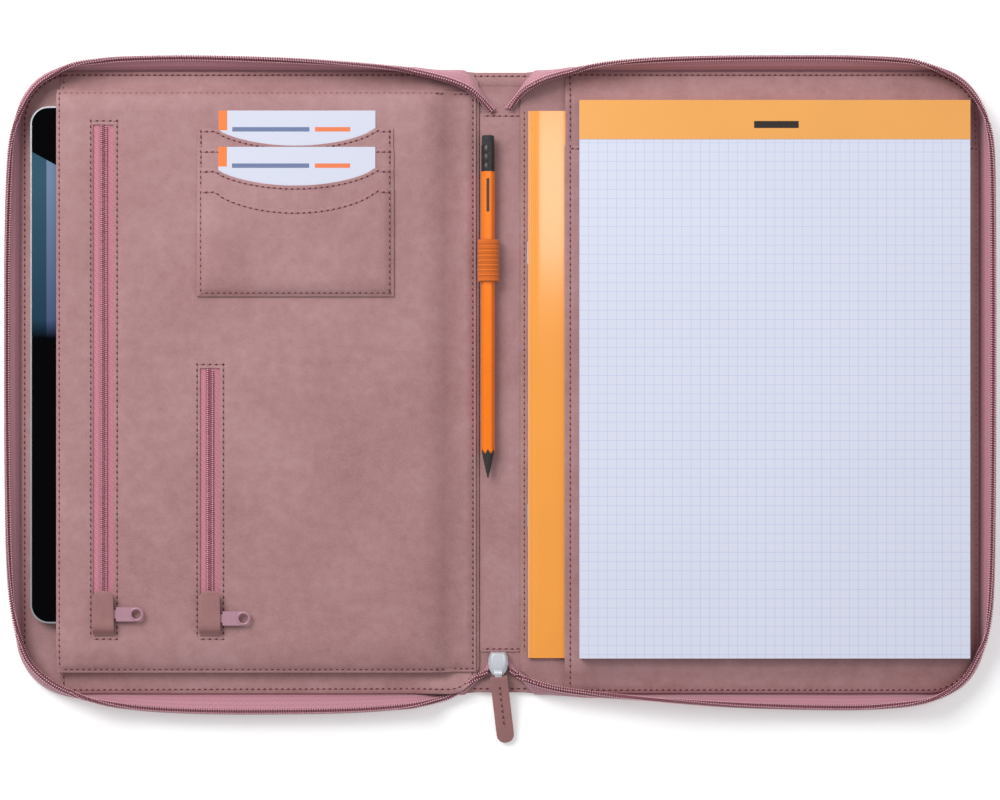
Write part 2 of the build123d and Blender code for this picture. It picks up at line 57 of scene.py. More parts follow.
# All in millimetres. These repeat the sizes of the frame's own pieces, which the leather has to follow.
COVER_END = 260.0           # from the spine's middle to a cover's outer edge
COVER_HALF = 169.0
CORNER_R = 28.0
SPINE_Y = 168.0             # the case is a little shorter at its spine
LINING_Z = 2.9
TOP_Z = 3.6
SEAM_OUT = 0.3              # the zip tape leaves the seam this far outside the edge
SEAM_Z = 1.95
TABLET_FOOT = (-25.5, -163.0, 163.0)      # where the panels start to rise over the tablet, and where they are up
TABLET_RIDGE = (-36.0, -140.0, 153.0)
TABLET_RISE = 6.48
FRONT_EDGE = -237.6
FRONT_Z = 3.62
POUCH = (-239.0, -13.0, -156.5, 157.5)
POUCH_BACK_Z = 4.37
POUCH_RIM_Z = 4.92
POUCH_PUFF = 1.15
POUCH_HANG = 13.0
LONG_WINDOW = (-219.0, -208.0, -135.5, 138.6)
SHORT_WINDOW = (-161.4, -150.8, -135.5, 7.5)
LONG_COIL_X = -213.2
SHORT_COIL_X = -156.0
POUCH_TAPE_Z = 11.95
POUCH_COIL_Z = 13.15
PULLER_Z = 16.45
CARD_POCKET = (-162.7, -57.4, 46.2, 136.7)
PAD_FOOT = (257.5, -163.0, 163.0)
PAD_RIDGE = (254.0, -152.0, 152.0)
PAD_RISE = 2.78
PAD_POCKET = (35.9, 258.6, -167.6)
PAD_POCKET_Z = 4.37
PAD_TOP_Z = 15.45
BOOKLET = (15.1, 225.1, -149.0, 146.8)
BOOKLET_Z = (3.8, 5.95)
PENCIL = (-6.5, 8.6)
LOOP = (54.6, 76.8)
SLIDER = (-1.0, -152.2)

SEAM_LINE = 2.6             # stitches round the case lie this far inside its edge
GROOVE_REACH = 1.2          # a row of stitches pulls the leather down this far to each side
CARD_HEM = 1.9
LOOP_RIBS = 17
KNEE = 0.42                 # share of the zip tape between its knee and its coil
WAVE_PERIOD = 6.28          # a wave texture's own period, per unit of scale
SIDES = ((-1, "left"), (1, "right"))


def length(name, description, default):
    """A size in metres that a user can change."""
    return bpy.props.FloatProperty(name=name, description=description, default=default, unit="LENGTH")


def tint(name, description, default):
    """A colour that a user can change."""
    return bpy.props.FloatVectorProperty(name=name, description=description, default=default, subtype="COLOR")


class CaseSizes(bpy.types.PropertyGroup):
    """Sizes of the finish: leather, stitches and zip teeth."""

    leather: length("Leather", "Thickness of the inside leather", 0.0007)
    edge: length("Edge rounding", "Rounding of a cut leather edge", 0.00022)
    grid: length("Grid", "Spacing of the vertices on a large piece of leather", 0.006)
    swell: length("Swell", "Height of the soft waves in a large panel", 0.0004)
    groove: length("Groove", "How far a row of stitches pulls the leather down", 0.00018)
    stitch_pitch: length("Stitch pitch", "Distance from one stitch to the next", 0.0032)
    stitch_length: length("Stitch length", "Length of one stitch", 0.0016)
    tape_width: length("Tape width", "Width of the zip tape that stands out of the seam", 0.0132)
    tooth_pitch: length("Tooth pitch", "Distance between the turns of the long zip's coil", 0.0013)
    pouch_pitch: length("Pouch tooth pitch", "Distance between the turns of a pouch zip's coil", 0.00105)


class CaseColours(bpy.types.PropertyGroup):
    """Colours of the finishes."""

    leather: tint("Leather", "Dusty pink leather", (0.365, 0.188, 0.190))
    leather_deep: tint("Deep leather", "Darker clouds in the leather", (0.295, 0.138, 0.138))
    leather_pale: tint("Pale leather", "Paler bloom on the leather", (0.44, 0.255, 0.265))
    flap: tint("Flap leather", "Browner leather of the flaps and the strap", (0.31, 0.145, 0.142))
    tape: tint("Zip tape", "Woven tape of the long zip", (0.46, 0.215, 0.26))
    coil: tint("Zip coil", "Nylon coil of the long zip", (0.19, 0.048, 0.070))
    chain: tint("Chain thread", "Thread sewn along a coil", (0.80, 0.47, 0.52))
    pouch_tape: tint("Pouch zip tape", "Woven tape of the pouch zips", (0.50, 0.19, 0.245))
    pouch_coil: tint("Pouch zip coil", "Nylon coil of the pouch zips", (0.34, 0.10, 0.14))
    thread: tint("Thread", "Sewing thread", (0.40, 0.20, 0.21))
    # painted shade: colour of the dark bead that stands for the shadow in a needle hole
    hole: tint("Needle hole", "Shaded hole at the end of a stitch", (0.13, 0.036, 0.048))
    orange: tint("Orange cover", "Glossy orange card", (0.90, 0.34, 0.045))
    pencil: tint("Pencil paint", "Orange lacquer", (0.90, 0.20, 0.004))
    elastic: tint("Elastic", "Ribbed orange elastic", (0.68, 0.15, 0.012))
    paper: tint("Paper", "Cool white paper", (0.67, 0.695, 0.82))
    puller: tint("Puller", "Painted metal pullers", (0.45, 0.235, 0.30))


def sizes():
    return bpy.context.scene.case_sizes


def colours():
    return bpy.context.scene.case_colours


# ------------------------------------------------------------------------------------------------
# Heights of the stacked layers, all in millimetres
# ------------------------------------------------------------------------------------------------


def ease(t):
    """0 to 1 with soft ends."""
    t = min(1.0, max(0.0, t))
    return t * t * (3 - 2 * t)


def swell(x, y):
    """Soft waves of a large panel, never below its flat height."""
    wave = noise.noise(Vector((x / 62, y / 74, 3.1))) + 0.45 * noise.noise(Vector((x / 27, y / 33, 8.4)))
    return sizes().swell / MM * (0.5 + 0.55 * wave)


def from_edge(x, y):
    """Distance inside the rounded outline of a cover."""
    dx, dy = abs(x) - (COVER_END - CORNER_R), abs(y) - (COVER_HALF - CORNER_R)
    if dx > 0 and dy > 0:
        return CORNER_R - sqrt(dx * dx + dy * dy)
    return CORNER_R - max(dx, dy)


def pinch(x, y):
    """The seam presses the layers together along the edge of the case."""
    return 0.6 * (1 - ease((from_edge(x, y) - 0.8) / 2.6))


def left_rise(x, y, hang=0.0):
    """How far the tablet under it lifts the left cover's panels, from 0 at their seams to 1.

    hang keeps the lower edge of a piece that isn't sewn down there away from the panel under it.
    """
    return min(
        ease((TABLET_FOOT[0] - x) / (TABLET_FOOT[0] - TABLET_RIDGE[0])),
        ease((y - TABLET_FOOT[1] + hang) / (TABLET_RIDGE[1] - TABLET_FOOT[1] + hang)),
        ease((TABLET_FOOT[2] - y) / (TABLET_FOOT[2] - TABLET_RIDGE[2])),
    )


def left_layer(x, y, hang=0.0):
    rise = left_rise(x, y, hang)
    return TABLET_RISE * rise + swell(x, y) * rise


def corner_lift(x, y):
    """The tablet pocket's lower corner at the spine lies over the end of the long zip."""
    return 4.2 * ease((x + 52) / 24) * ease((-158.5 - y) / 8)


def front_under(x, y):
    return FRONT_Z + left_layer(x, y) + corner_lift(x, y) - pinch(x, y)


def from_rim(area, x, y):
    """Distance inside the sides of an area."""
    left, right, bottom, top = area
    return min(x - left, right - x, y - bottom, top - y)


def pouch_under(x, y):
    puff = POUCH_PUFF * ease((from_rim(POUCH, x, y) - 0.8) / 4.5)
    return POUCH_RIM_Z + left_layer(x, y, POUCH_HANG) + puff


def pouch_face(x, y):
    return pouch_under(x, y) + 0.7


def right_rise(x, y):
    return min(
        ease((PAD_FOOT[0] - x) / (PAD_FOOT[0] - PAD_RIDGE[0])),
        ease((y - PAD_FOOT[1]) / (PAD_RIDGE[1] - PAD_FOOT[1])),
        ease((PAD_FOOT[2] - y) / (PAD_FOOT[2] - PAD_RIDGE[2])),
    )


def panel_under(x, y):
    return FRONT_Z + PAD_RISE * right_rise(x, y) - pinch(x, y)


def pad_pocket_under(x, y):
    rim = min(x - PAD_POCKET[0], PAD_POCKET[1] - x, y - PAD_POCKET[2])
    puff = 0.85 * ease((rim - 0.8) / 4.5)
    return PAD_POCKET_Z + PAD_RISE * right_rise(x, y) + puff - pinch(x, y)


# ------------------------------------------------------------------------------------------------
# Working with a mesh
# ------------------------------------------------------------------------------------------------


def deselect():
    if bpy.context.mode != "OBJECT":
        bpy.ops.object.mode_set(mode="OBJECT")
    bpy.ops.object.select_all(action="DESELECT")


def alone(obj):
    """Selects one object and nothing else."""
    deselect()
    obj.select_set(True)
    bpy.context.view_layer.objects.active = obj


def named(name):
    obj = bpy.context.object
    obj.name = name
    obj.data.name = name
    return obj


def freeze():
    bpy.ops.object.transform_apply(location=True, rotation=True, scale=True)


def edit(select="DESELECT", mode="FACE"):
    bpy.ops.object.mode_set(mode="EDIT")
    bpy.ops.mesh.select_mode(type=mode)
    bpy.ops.mesh.select_all(action=select)


def object_mode():
    bpy.ops.object.mode_set(mode="OBJECT")


def pick(obj, parts, test):
    """Selects the vertices or faces of a mesh that pass a test of their place, in millimetres."""
    object_mode()
    for part in parts:
        place = part.co if hasattr(part, "co") else part.center
        part.select = bool(test(place / MM))
    bpy.ops.object.mode_set(mode="EDIT")


def move_points(obj, where):
    """Moves every vertex: where(x, y, z) gives its new place, all in millimetres."""
    for vertex in obj.data.vertices:
        vertex.co = Vector(where(*(vertex.co / MM))) * MM
    obj.data.update()


def modify(obj, kind, **settings):
    modifier = obj.modifiers.new(kind.title(), kind)
    for key, value in settings.items():
        setattr(modifier, key, value)
    bpy.context.view_layer.objects.active = obj
    bpy.ops.object.modifier_apply(modifier=modifier.name)


def soften(obj, angle=40):
    """Shades smooth, apart from edges sharper than an angle in degrees."""
    alone(obj)
    bpy.ops.object.shade_smooth_by_angle(angle=radians(angle))


def paint(obj, *materials):
    obj.data.materials.clear()
    for material in materials:
        obj.data.materials.append(material)


def grid_sheet(name, columns, rows, where, thickness, offset=0, uv=None):
    """A thin closed sheet: where(u, v), both from 0 to 1, gives each point's place, and uv its place on the map."""
    deselect()
    bpy.ops.mesh.primitive_grid_add(x_subdivisions=columns, y_subdivisions=rows, size=1)
    sheet = named(name)
    if uv:
        for loop in sheet.data.uv_layers.active.data:
            loop.uv = uv(*loop.uv)
    move_points(sheet, lambda x, y, z: where(x * MM + 0.5, y * MM + 0.5))
    modify(sheet, "SOLIDIFY", thickness=thickness * MM, offset=offset)
    recalculate(sheet)
    return sheet


def cut_across(normal, places):
    """Cuts through the whole mesh at places along an axis, in millimetres."""
    for place in places:
        bpy.ops.mesh.select_all(action="SELECT")
        bpy.ops.mesh.bisect(plane_co=[n * place * MM for n in normal], plane_no=normal)


def cut_lines(low, high, marks, pitch):
    """Places for bisecting: the marks, and an even spacing where there is room between them."""
    marks = sorted({round(m, 3) for m in marks if low + 0.05 < m < high - 0.05})
    count = max(1, round((high - low) / pitch))
    even = [low + (high - low) * i / count for i in range(1, count)]
    return marks + [e for e in even if all(abs(e - m) > pitch * 0.3 for m in marks)]


def row_marks(rows, axis):
    return [place + step for a, place, _, _ in rows if a == axis for step in (-GROOVE_REACH, 0, GROOVE_REACH)]


def groove(rows, x, y):
    """How far the straight rows of stitches pull the leather down at a point."""
    pull = 0.0
    for axis, place, start, stop in rows:
        across, along = (x, y) if axis == "x" else (y, x)
        if start - 0.5 < along < stop + 0.5:
            pull = max(pull, 1 - abs(across - place) / GROOVE_REACH)
    return pull * sizes().groove / MM


def leather_piece(name, area, under, thickness=None, rows=(), corners=(), windows=(), marks_x=(), marks_y=(),
                  trim=None, pitch=None, butted=False):
    """A piece of leather cut to an area, raised to lie on what is under it, with its edges rounded.

    corners are (side, end, radius); rows are stitch rows as (axis, place, start, stop); trim moves the flat
    outline before it is raised; a butted piece keeps its edge on the spine's middle sharp, against its twin.
    """
    left, right, bottom, top = area
    pitch = pitch or sizes().grid / MM
    deselect()
    bpy.ops.mesh.primitive_plane_add(size=1, location=((left + right) / 2 * MM, (bottom + top) / 2 * MM, 0))
    piece = named(name)
    piece.scale = ((right - left) * MM, (top - bottom) * MM, 1)
    freeze()
    for side, end, radius in corners:
        edit(mode="VERT")
        x, y = (right if side > 0 else left), (top if end > 0 else bottom)
        pick(piece, piece.data.vertices, lambda p: abs(p.x - x) < 0.01 and abs(p.y - y) < 0.01)
        bpy.ops.mesh.bevel(offset=radius * MM, segments=max(4, int(radius / 2.2)), affect="VERTICES")
    object_mode()
    across = list(marks_x) + row_marks(rows, "x") + [e for w in windows for e in w[:2]]
    along = list(marks_y) + row_marks(rows, "y") + [e for w in windows for e in w[2:]]
    edit("SELECT")
    for normal, low, high, marks in (((1, 0, 0), left, right, across), ((0, 1, 0), bottom, top, along)):
        cut_across(normal, cut_lines(low, high, marks, pitch))
    for window in windows:
        pick(piece, piece.data.polygons,
             lambda p: window[0] < p.x < window[1] and window[2] < p.y < window[3])
        bpy.ops.mesh.delete(type="FACE")
    object_mode()
    if trim:
        move_points(piece, lambda x, y, z: (*trim(x, y), z))
    move_points(piece, lambda x, y, z: (x, y, under(x, y) - groove(rows, x, y)))
    modify(piece, "SOLIDIFY", thickness=(thickness or sizes().leather / MM) * MM, offset=1, use_even_offset=True)
    if butted:
        edit(mode="EDGE")
        bpy.ops.mesh.edges_select_sharp(sharpness=radians(55))
        object_mode()
        for line in piece.data.edges:
            if all(abs(piece.data.vertices[i].co.x) < 0.00001 for i in line.vertices):
                line.select = False
        bpy.ops.object.mode_set(mode="EDIT")
        bpy.ops.transform.edge_bevelweight(value=1.0)
        object_mode()
        modify(piece, "BEVEL", width=sizes().edge, segments=2, limit_method="WEIGHT")
    else:
        modify(piece, "BEVEL", width=sizes().edge, segments=2, limit_method="ANGLE", angle_limit=radians(55))
    soften(piece)
    return piece


def copies(name, unit, places):
    """One mesh that holds a copy of a small unit at each place, a 4x4 matrix."""
    points = np.array([v.co[:] + (1.0,) for v in unit.data.vertices])
    faces = [tuple(p.vertices) for p in unit.data.polygons]
    slots = [p.material_index for p in unit.data.polygons]
    spots = np.concatenate([points @ np.array(m).T for m in places])[:, :3]
    mesh = bpy.data.meshes.new(name)
    mesh.from_pydata(
        spots.tolist(), [], [tuple(i + n * len(points) for i in f) for n in range(len(places)) for f in faces])
    for material in unit.data.materials:
        mesh.materials.append(material)
    mesh.polygons.foreach_set("material_index", slots * len(places))
    obj = bpy.data.objects.new(name, mesh)
    bpy.context.scene.collection.objects.link(obj)
    soften(obj, 60)
    return obj


def walk(points, pitch, start=0.5):
    """Evenly spaced (point, direction) along a line of points; start is the first one's place in its step."""
    points = [Vector(p) for p in points]
    lengths = [(b - a).length for a, b in zip(points, points[1:])]
    count = max(1, round(sum(lengths) / pitch))
    step = sum(lengths) / count
    spots, run, index = [], 0.0, 0
    for n in range(count):
        place = (n + start) * step
        while index < len(lengths) - 1 and run + lengths[index] < place:
            run += lengths[index]
            index += 1
        way = (points[index + 1] - points[index]).normalized()
        spots.append((points[index] + way * (place - run), way))
    return spots


def placed(point, way, up):
    """A 4x4 matrix that puts a unit's X along way and its Z along up, at a point in millimetres."""
    side = up.cross(way).normalized()
    up = way.cross(side).normalized()
    matrix = Matrix((way, side, up)).transposed().to_4x4()
    matrix.translation = Vector(point) * MM
    return matrix


UNITS = {}


def bead(finish, scale, place=(0, 0, 0), turn=0.0, segments=5, rings=4):
    """A small rounded part of a unit, stretched from a sphere."""
    bpy.ops.mesh.primitive_uv_sphere_add(
        segments=segments, ring_count=rings, radius=1, location=place, rotation=(0, 0, turn))
    part = bpy.context.object
    part.scale = scale
    freeze()
    paint(part, finish)
    return part


def joined(whole, *parts):
    """Joins small parts into the first one."""
    alone(whole)
    for part in parts:
        part.select_set(True)
    bpy.ops.object.join()
    return whole


def stitch_unit():
    """One stitch, followed by a dark bead painted with the shade of its needle hole."""
    if "stitch" not in UNITS:
        deselect()
        # the hole is a dark bead on the leather whose colour is painted shade
        hole = bead(needle_hole_painted_shade(), (0.00088, 0.00047, 0.00030), (sizes().stitch_pitch / 2, 0, 0.00008), 0.20, 6)
        thread = bead(sewing_thread(), (sizes().stitch_length / 2, 0.00040, 0.00034), (0, 0, 0.00006), 0.10, 6)
        UNITS["stitch"] = joined(thread, hole)
    return UNITS["stitch"]


def sew(name, lines, face):
    """Stitches along flat lines of (x, y), lying on a face whose height is face(x, y)."""
    places = []
    for line in lines:
        for point, way in walk(line, sizes().stitch_pitch / MM):
            x, y = point.x, point.y
            here = face(x, y)
            ahead = Vector((way.x, way.y, face(x + way.x, y + way.y) - here)).normalized()
            aside = Vector((-way.y, way.x, face(x - way.y, y + way.x) - here)).normalized()
            places.append(placed((x, y, here), ahead, ahead.cross(aside)))
    return copies(name, stitch_unit(), places)


def row_lines(rows):
    """The ends of each row of stitches, as flat lines."""
    return [
        [(place, start), (place, stop)] if axis == "x" else [(start, place), (stop, place)]
        for axis, place, start, stop in rows
    ]


def frame_rows(area, inset):
    """Four rows of stitches inside an area."""
    left, right, bottom, top = area[0] + inset, area[1] - inset, area[2] + inset, area[3] - inset
    return [("x", x, bottom, top) for x in (left, right)] + [("y", y, left, right) for y in (bottom, top)]


def fold_marks(side):
    """Close cuts across the fold beside the spine."""
    return [side * (10.5 + 0.75 * i) for i in range(13)]


def bend(obj, side):
    """Bakes the piece's placement into its mesh; the piece is not bent."""
    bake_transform(obj)


def fit(piece, slot, carried, *nodes, finish=None):
    """Finishes a piece, hangs it on a body or, for a cover (-1 or 1), bakes its placement, and hides the nodes it
    stands for.
    """
    if finish:
        paint(piece, finish)
    if isinstance(carried, int):
        bend(piece, carried)
    else:
        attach(piece, carried)
    if nodes:
        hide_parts(*nodes)


# ------------------------------------------------------------------------------------------------
# Materials
# ------------------------------------------------------------------------------------------------


class Finish:
    """A node tree under construction, on Object coordinates unless told otherwise."""

    def __init__(self, name, **sockets):
        self.material = bpy.data.materials.new(name)
        self.material.use_nodes = True
        self.tree = self.material.node_tree
        self.shader = self.tree.nodes["Principled BSDF"]
        for key, value in sockets.items():
            self.shader.inputs[key.replace("_", " ")].default_value = value
        self.coords = self.add("ShaderNodeTexCoord")

    def add(self, kind, inputs=None, **settings):
        node = self.tree.nodes.new(kind)
        for key, value in settings.items():
            setattr(node, key, value)
        for key, value in (inputs or {}).items():
            if isinstance(value, bpy.types.NodeSocket):
                self.tree.links.new(value, node.inputs[key])
            else:
                node.inputs[key].default_value = value
        return node

    def place(self, scale=(1, 1, 1), turn=(0, 0, 0), shift=(0, 0, 0), source="Object"):
        node = self.add("ShaderNodeMapping", {"Vector": self.coords.outputs[source]})
        node.inputs["Scale"].default_value = scale
        node.inputs["Rotation"].default_value = turn
        node.inputs["Location"].default_value = shift
        return node.outputs["Vector"]

    def noise(self, scale, detail=2.0, vector=None, roughness=0.5):
        return self.add("ShaderNodeTexNoise", {
            "Vector": vector or self.coords.outputs["Object"], "Scale": scale, "Detail": detail,
            "Roughness": roughness}).outputs["Fac"]

    def maths(self, operation, first, second=0.0, clamp=False, third=0.5):
        inputs = {0: first, 1: second, 2: third}
        return self.add("ShaderNodeMath", inputs, operation=operation, use_clamp=clamp).outputs[0]

    def bands(self, pitch, direction, distortion=0.0, vector=None):
        """Stripes at a pitch in millimetres."""
        return self.add("ShaderNodeTexWave", {
            "Vector": vector or self.coords.outputs["Object"], "Scale": 1000 / pitch / WAVE_PERIOD,
            "Distortion": distortion}, bands_direction=direction).outputs["Fac"]

    def ramp(self, value, stops):
        node = self.add("ShaderNodeValToRGB", {"Fac": value})
        elements = node.color_ramp.elements
        while len(elements) < len(stops):
            elements.new(0.5)
        for element, (place, colour) in zip(elements, stops):
            element.position = place
            element.color = (*colour[:3], 1)
        return node.outputs["Color"]

    def mix(self, value, first, second):
        node = self.add("ShaderNodeMix", data_type="RGBA")
        for index, item in ((0, value), (6, first), (7, second)):
            if isinstance(item, bpy.types.NodeSocket):
                self.tree.links.new(item, node.inputs[index])
            elif index:
                node.inputs[index].default_value = (*item[:3], 1)
            else:
                node.inputs[index].default_value = item
        return node.outputs[2]

    def axis(self, letter, vector=None):
        node = self.add("ShaderNodeSeparateXYZ", {"Vector": vector or self.coords.outputs["Object"]})
        return node.outputs[letter]

    def between(self, value, low, high):
        """1 where the value lies between two bounds, else 0."""
        above = self.maths("GREATER_THAN", value, low)
        return self.maths("MULTIPLY", above, self.maths("LESS_THAN", value, high))

    def box(self, across, along):
        """1 inside a rectangle whose sides are given in millimetres, else 0."""
        inside = [self.between(self.axis(letter), low * MM, high * MM)
                  for letter, (low, high) in (("X", across), ("Y", along))]
        return self.maths("MULTIPLY", *inside)

    def colour(self, output):
        self.tree.links.new(output, self.shader.inputs["Base Color"])

    def roughness(self, value, low, high):
        node = self.add("ShaderNodeMapRange", {"Value": value, "To Min": low, "To Max": high})
        self.tree.links.new(node.outputs["Result"], self.shader.inputs["Roughness"])

    def bump(self, *heights):
        """Stacks bumps given as (height, distance in millimetres, strength)."""
        normal = None
        for height, distance, strength in heights:
            inputs = {"Height": height, "Distance": distance * MM, "Strength": strength}
            if normal:
                inputs["Normal"] = normal
            normal = self.add("ShaderNodeBump", inputs).outputs["Normal"]
        self.tree.links.new(normal, self.shader.inputs["Normal"])


FINISHES = {}


def shade(colour, amount):
    """A colour made darker or paler."""
    return [min(1, v * amount) for v in colour]


def once(build):
    """Builds a material the first time it is asked for."""

    def made(*args):
        key = (build.__name__, *(str(a) for a in args))
        if key not in FINISHES:
            FINISHES[key] = build(*args)
        return FINISHES[key]

    return made


def grained_leather(name, deep, middle, pale, cloud=17.0):
    f = Finish(name, Roughness=0.6, Specular_IOR_Level=0.38, Sheen_Weight=0.08, Sheen_Roughness=0.5)
    clouds = f.noise(cloud, 3.0, roughness=0.6)
    mottle = f.noise(150, 3.0, roughness=0.65)
    speck = f.noise(1250, 1.0)
    tone = f.maths("ADD", f.maths("MULTIPLY", clouds, 0.55), f.maths("MULTIPLY", mottle, 0.45))
    base = f.ramp(tone, ((0.28, deep), (0.50, middle), (0.74, pale)))
    f.colour(f.mix(f.maths("MULTIPLY", f.maths("SUBTRACT", speck, 0.42, True), 1.1, True), base, pale))
    cells = f.add("ShaderNodeTexVoronoi", {"Vector": f.coords.outputs["Object"], "Scale": 1150.0},
                  feature="DISTANCE_TO_EDGE").outputs["Distance"]
    f.roughness(mottle, 0.5, 0.68)
    f.bump((mottle, 0.35, 0.35), (f.maths("MINIMUM", cells, 0.22), 0.3, 0.30), (speck, 0.12, 0.35))
    return f.material


@once
def leather():
    c = colours()
    return grained_leather("dusty_pink_leather", c.leather_deep, c.leather, c.leather_pale)


@once
def flap_leather():
    c = colours()
    dark = shade(c.flap, 0.86)
    light = shade(c.flap, 1.13)
    return grained_leather("flap_leather", dark, c.flap, light, 60.0)


def thread_finish(name, colour):
    f = Finish(name, Roughness=0.7, Specular_IOR_Level=0.3)
    twist = f.add("ShaderNodeTexWave", {"Vector": f.place(turn=(0, 0, 0.7)), "Scale": 700.0}).outputs["Fac"]
    f.colour(f.mix(twist, shade(colour, 0.75), shade(colour, 1.2)))
    f.bump((twist, 0.08, 0.5))
    return f.material


@once
def sewing_thread():
    return thread_finish("sewing_thread", colours().thread)


@once
def chain_thread():
    return thread_finish("chain_thread", colours().chain)


@once
def needle_hole_painted_shade():
    # painted shade: the bead sits on the leather where a needle hole's shadow would fall
    f = Finish("needle_hole_painted_shade", Roughness=0.9, Specular_IOR_Level=0.1)
    dark = colours().hole
    f.colour(f.mix(f.noise(1500), shade(dark, 0.6), shade(dark, 1.4)))
    return f.material


def woven_tape(name, colour):
    """Ribbed tape; the pattern follows the piece's own UV map, whose unit is a metre."""
    f = Finish(name, Roughness=0.78, Specular_IOR_Level=0.25, Sheen_Weight=0.3, Sheen_Roughness=0.4)
    uv = f.place(source="UV")
    warp = f.bands(1.5, "Y", 0.4, uv)
    weft = f.bands(0.7, "DIAGONAL", 0.6, uv)
    fuzz = f.noise(900, 2.0)
    cloth = f.maths("ADD", f.maths("MULTIPLY", warp, 0.5), f.maths("MULTIPLY", weft, 0.5))
    pale = shade(colour, 1.16)
    deep = shade(colour, 0.80)
    f.colour(f.mix(f.maths("MULTIPLY", f.maths("ADD", cloth, fuzz), 0.6, True), deep, pale))
    f.bump((cloth, 0.22, 0.6), (fuzz, 0.1, 0.3))
    return f.material


@once
def zip_tape():
    return woven_tape("zip_tape_weave", colours().tape)


@once
def pouch_zip_tape():
    return woven_tape("pouch_zip_tape_weave", colours().pouch_tape)


def nylon(name, colour):
    f = Finish(name, Roughness=0.38, Specular_IOR_Level=0.5)
    tone = f.noise(420, 2.0)
    f.colour(f.mix(tone, shade(colour, 0.8), shade(colour, 1.25)))
    f.roughness(tone, 0.32, 0.5)
    return f.material


@once
def coil_nylon():
    return nylon("coil_nylon", colours().coil)


@once
def pouch_coil_nylon():
    return nylon("pouch_coil_nylon", colours().pouch_coil)


def metal(name, colour, low, high, metallic=1.0, scale=260.0, coat=0.0):
    f = Finish(name, Metallic=metallic, Coat_Weight=coat, Coat_Roughness=0.12)
    wear = f.noise(scale, 4.0, roughness=0.7)
    scratches = f.noise(900, 2.0, vector=f.place(scale=(1, 0.12, 1)))
    f.colour(f.mix(wear, shade(colour, 0.9), shade(colour, 1.06)))
    f.roughness(wear, low, high)
    f.bump((scratches, 0.004, 0.15))
    return f.material


@once
def polished_metal():
    return metal("polished_metal", (0.74, 0.76, 0.82), 0.3, 0.38, metallic=0.5, scale=60.0)


@once
def painted_metal():
    return metal("painted_puller_metal", colours().puller, 0.34, 0.5, metallic=0.15, coat=0.35)


@once
def tablet_case_metal():
    return metal("tablet_case_metal", (0.50, 0.51, 0.54), 0.3, 0.42)


@once
def staple_wire():
    return metal("staple_wire", (0.62, 0.62, 0.64), 0.25, 0.4)


@once
def ferrule_black():
    f = Finish("ferrule_black", Metallic=0.6, Roughness=0.3)
    bands = f.bands(2.4, "Y")
    f.colour(f.mix(f.noise(300), (0.028, 0.026, 0.025), (0.06, 0.056, 0.052)))
    f.roughness(bands, 0.22, 0.42)
    f.bump((bands, 0.3, 0.5))
    return f.material


@once
def eraser_rubber():
    f = Finish("eraser_rubber", Roughness=0.85, Specular_IOR_Level=0.3)
    crumbs = f.noise(900, 3.0)
    f.colour(f.mix(crumbs, (0.024, 0.022, 0.024), (0.055, 0.052, 0.055)))
    f.bump((crumbs, 0.15, 0.4))
    return f.material


@once
def graphite():
    f = Finish("graphite", Roughness=0.35, Metallic=0.4)
    streaks = f.noise(700, 2.0, vector=f.place(scale=(1, 0.2, 1)))
    f.colour(f.mix(streaks, (0.02, 0.02, 0.022), (0.07, 0.07, 0.075)))
    f.bump((streaks, 0.05, 0.4))
    return f.material


@once
def pencil_lacquer():
    """Orange lacquer that ends in scallops at the sharpened black wood."""
    f = Finish("pencil_lacquer", Roughness=0.25, Specular_IOR_Level=0.25, Coat_Weight=0.2, Coat_Roughness=0.06)
    x = f.maths("SUBTRACT", f.axis("X"), PENCIL[0] * MM)
    z = f.maths("SUBTRACT", f.axis("Z"), PENCIL[1] * MM)
    turn = f.maths("ARCTAN2", z, x)
    scallop = f.maths("ABSOLUTE", f.maths("COSINE", f.maths("MULTIPLY", turn, 3.0)))
    edge = f.maths("ADD", f.axis("Y"), f.maths("MULTIPLY", scallop, 2.6 * MM))
    wood = f.maths("LESS_THAN", edge, -35.6 * MM)
    grain = f.noise(500, 3.0, vector=f.place(scale=(1, 0.12, 1)))
    black = f.mix(grain, (0.016, 0.014, 0.013), (0.05, 0.045, 0.042))
    paint_tone = f.noise(90, 2.0)
    bright = colours().pencil
    lacquer = f.mix(paint_tone, shade(bright, 0.93), shade(bright, 1.05))
    print_box = f.maths("MULTIPLY", f.between(f.axis("Y"), 92 * MM, 110 * MM), f.between(x, -0.8 * MM, 0.8 * MM))
    top = f.maths("GREATER_THAN", z, 2.2 * MM)
    f.colour(f.mix(wood, f.mix(f.maths("MULTIPLY", print_box, top), lacquer, (0.05, 0.03, 0.02)), black))
    f.roughness(wood, 0.2, 0.7)
    f.bump((grain, 0.03, 0.2))
    return f.material


@once
def ribbed_elastic():
    f = Finish("ribbed_elastic", Roughness=0.75, Specular_IOR_Level=0.25, Sheen_Weight=0.25)
    ribs = f.bands(1.26, "Y")
    yarn = f.noise(1600, 2.0)
    warm = colours().elastic
    f.colour(f.mix(f.maths("MULTIPLY", f.maths("ADD", ribs, yarn), 0.5), shade(warm, 0.6),
                   shade(warm, 1.25)))
    f.bump((yarn, 0.12, 0.4))
    return f.material


def glossy_card(name, colour, gloss, coat):
    f = Finish(name, Roughness=gloss, Specular_IOR_Level=0.2, Coat_Weight=coat, Coat_Roughness=0.14)
    broad = f.noise(22, 2.0)
    fibre = f.noise(700, 3.0)
    crinkle = f.noise(75, 3.0, vector=f.place(scale=(0.5, 1, 1)))
    f.colour(f.mix(broad, shade(colour, 0.94), shade(colour, 1.05)))
    f.roughness(fibre, gloss * 0.85, gloss * 1.2)
    f.bump((crinkle, 0.35, 0.22), (fibre, 0.03, 0.25))
    return f


@once
def booklet_card():
    return glossy_card("booklet_card", colours().orange, 0.3, 1.0).material


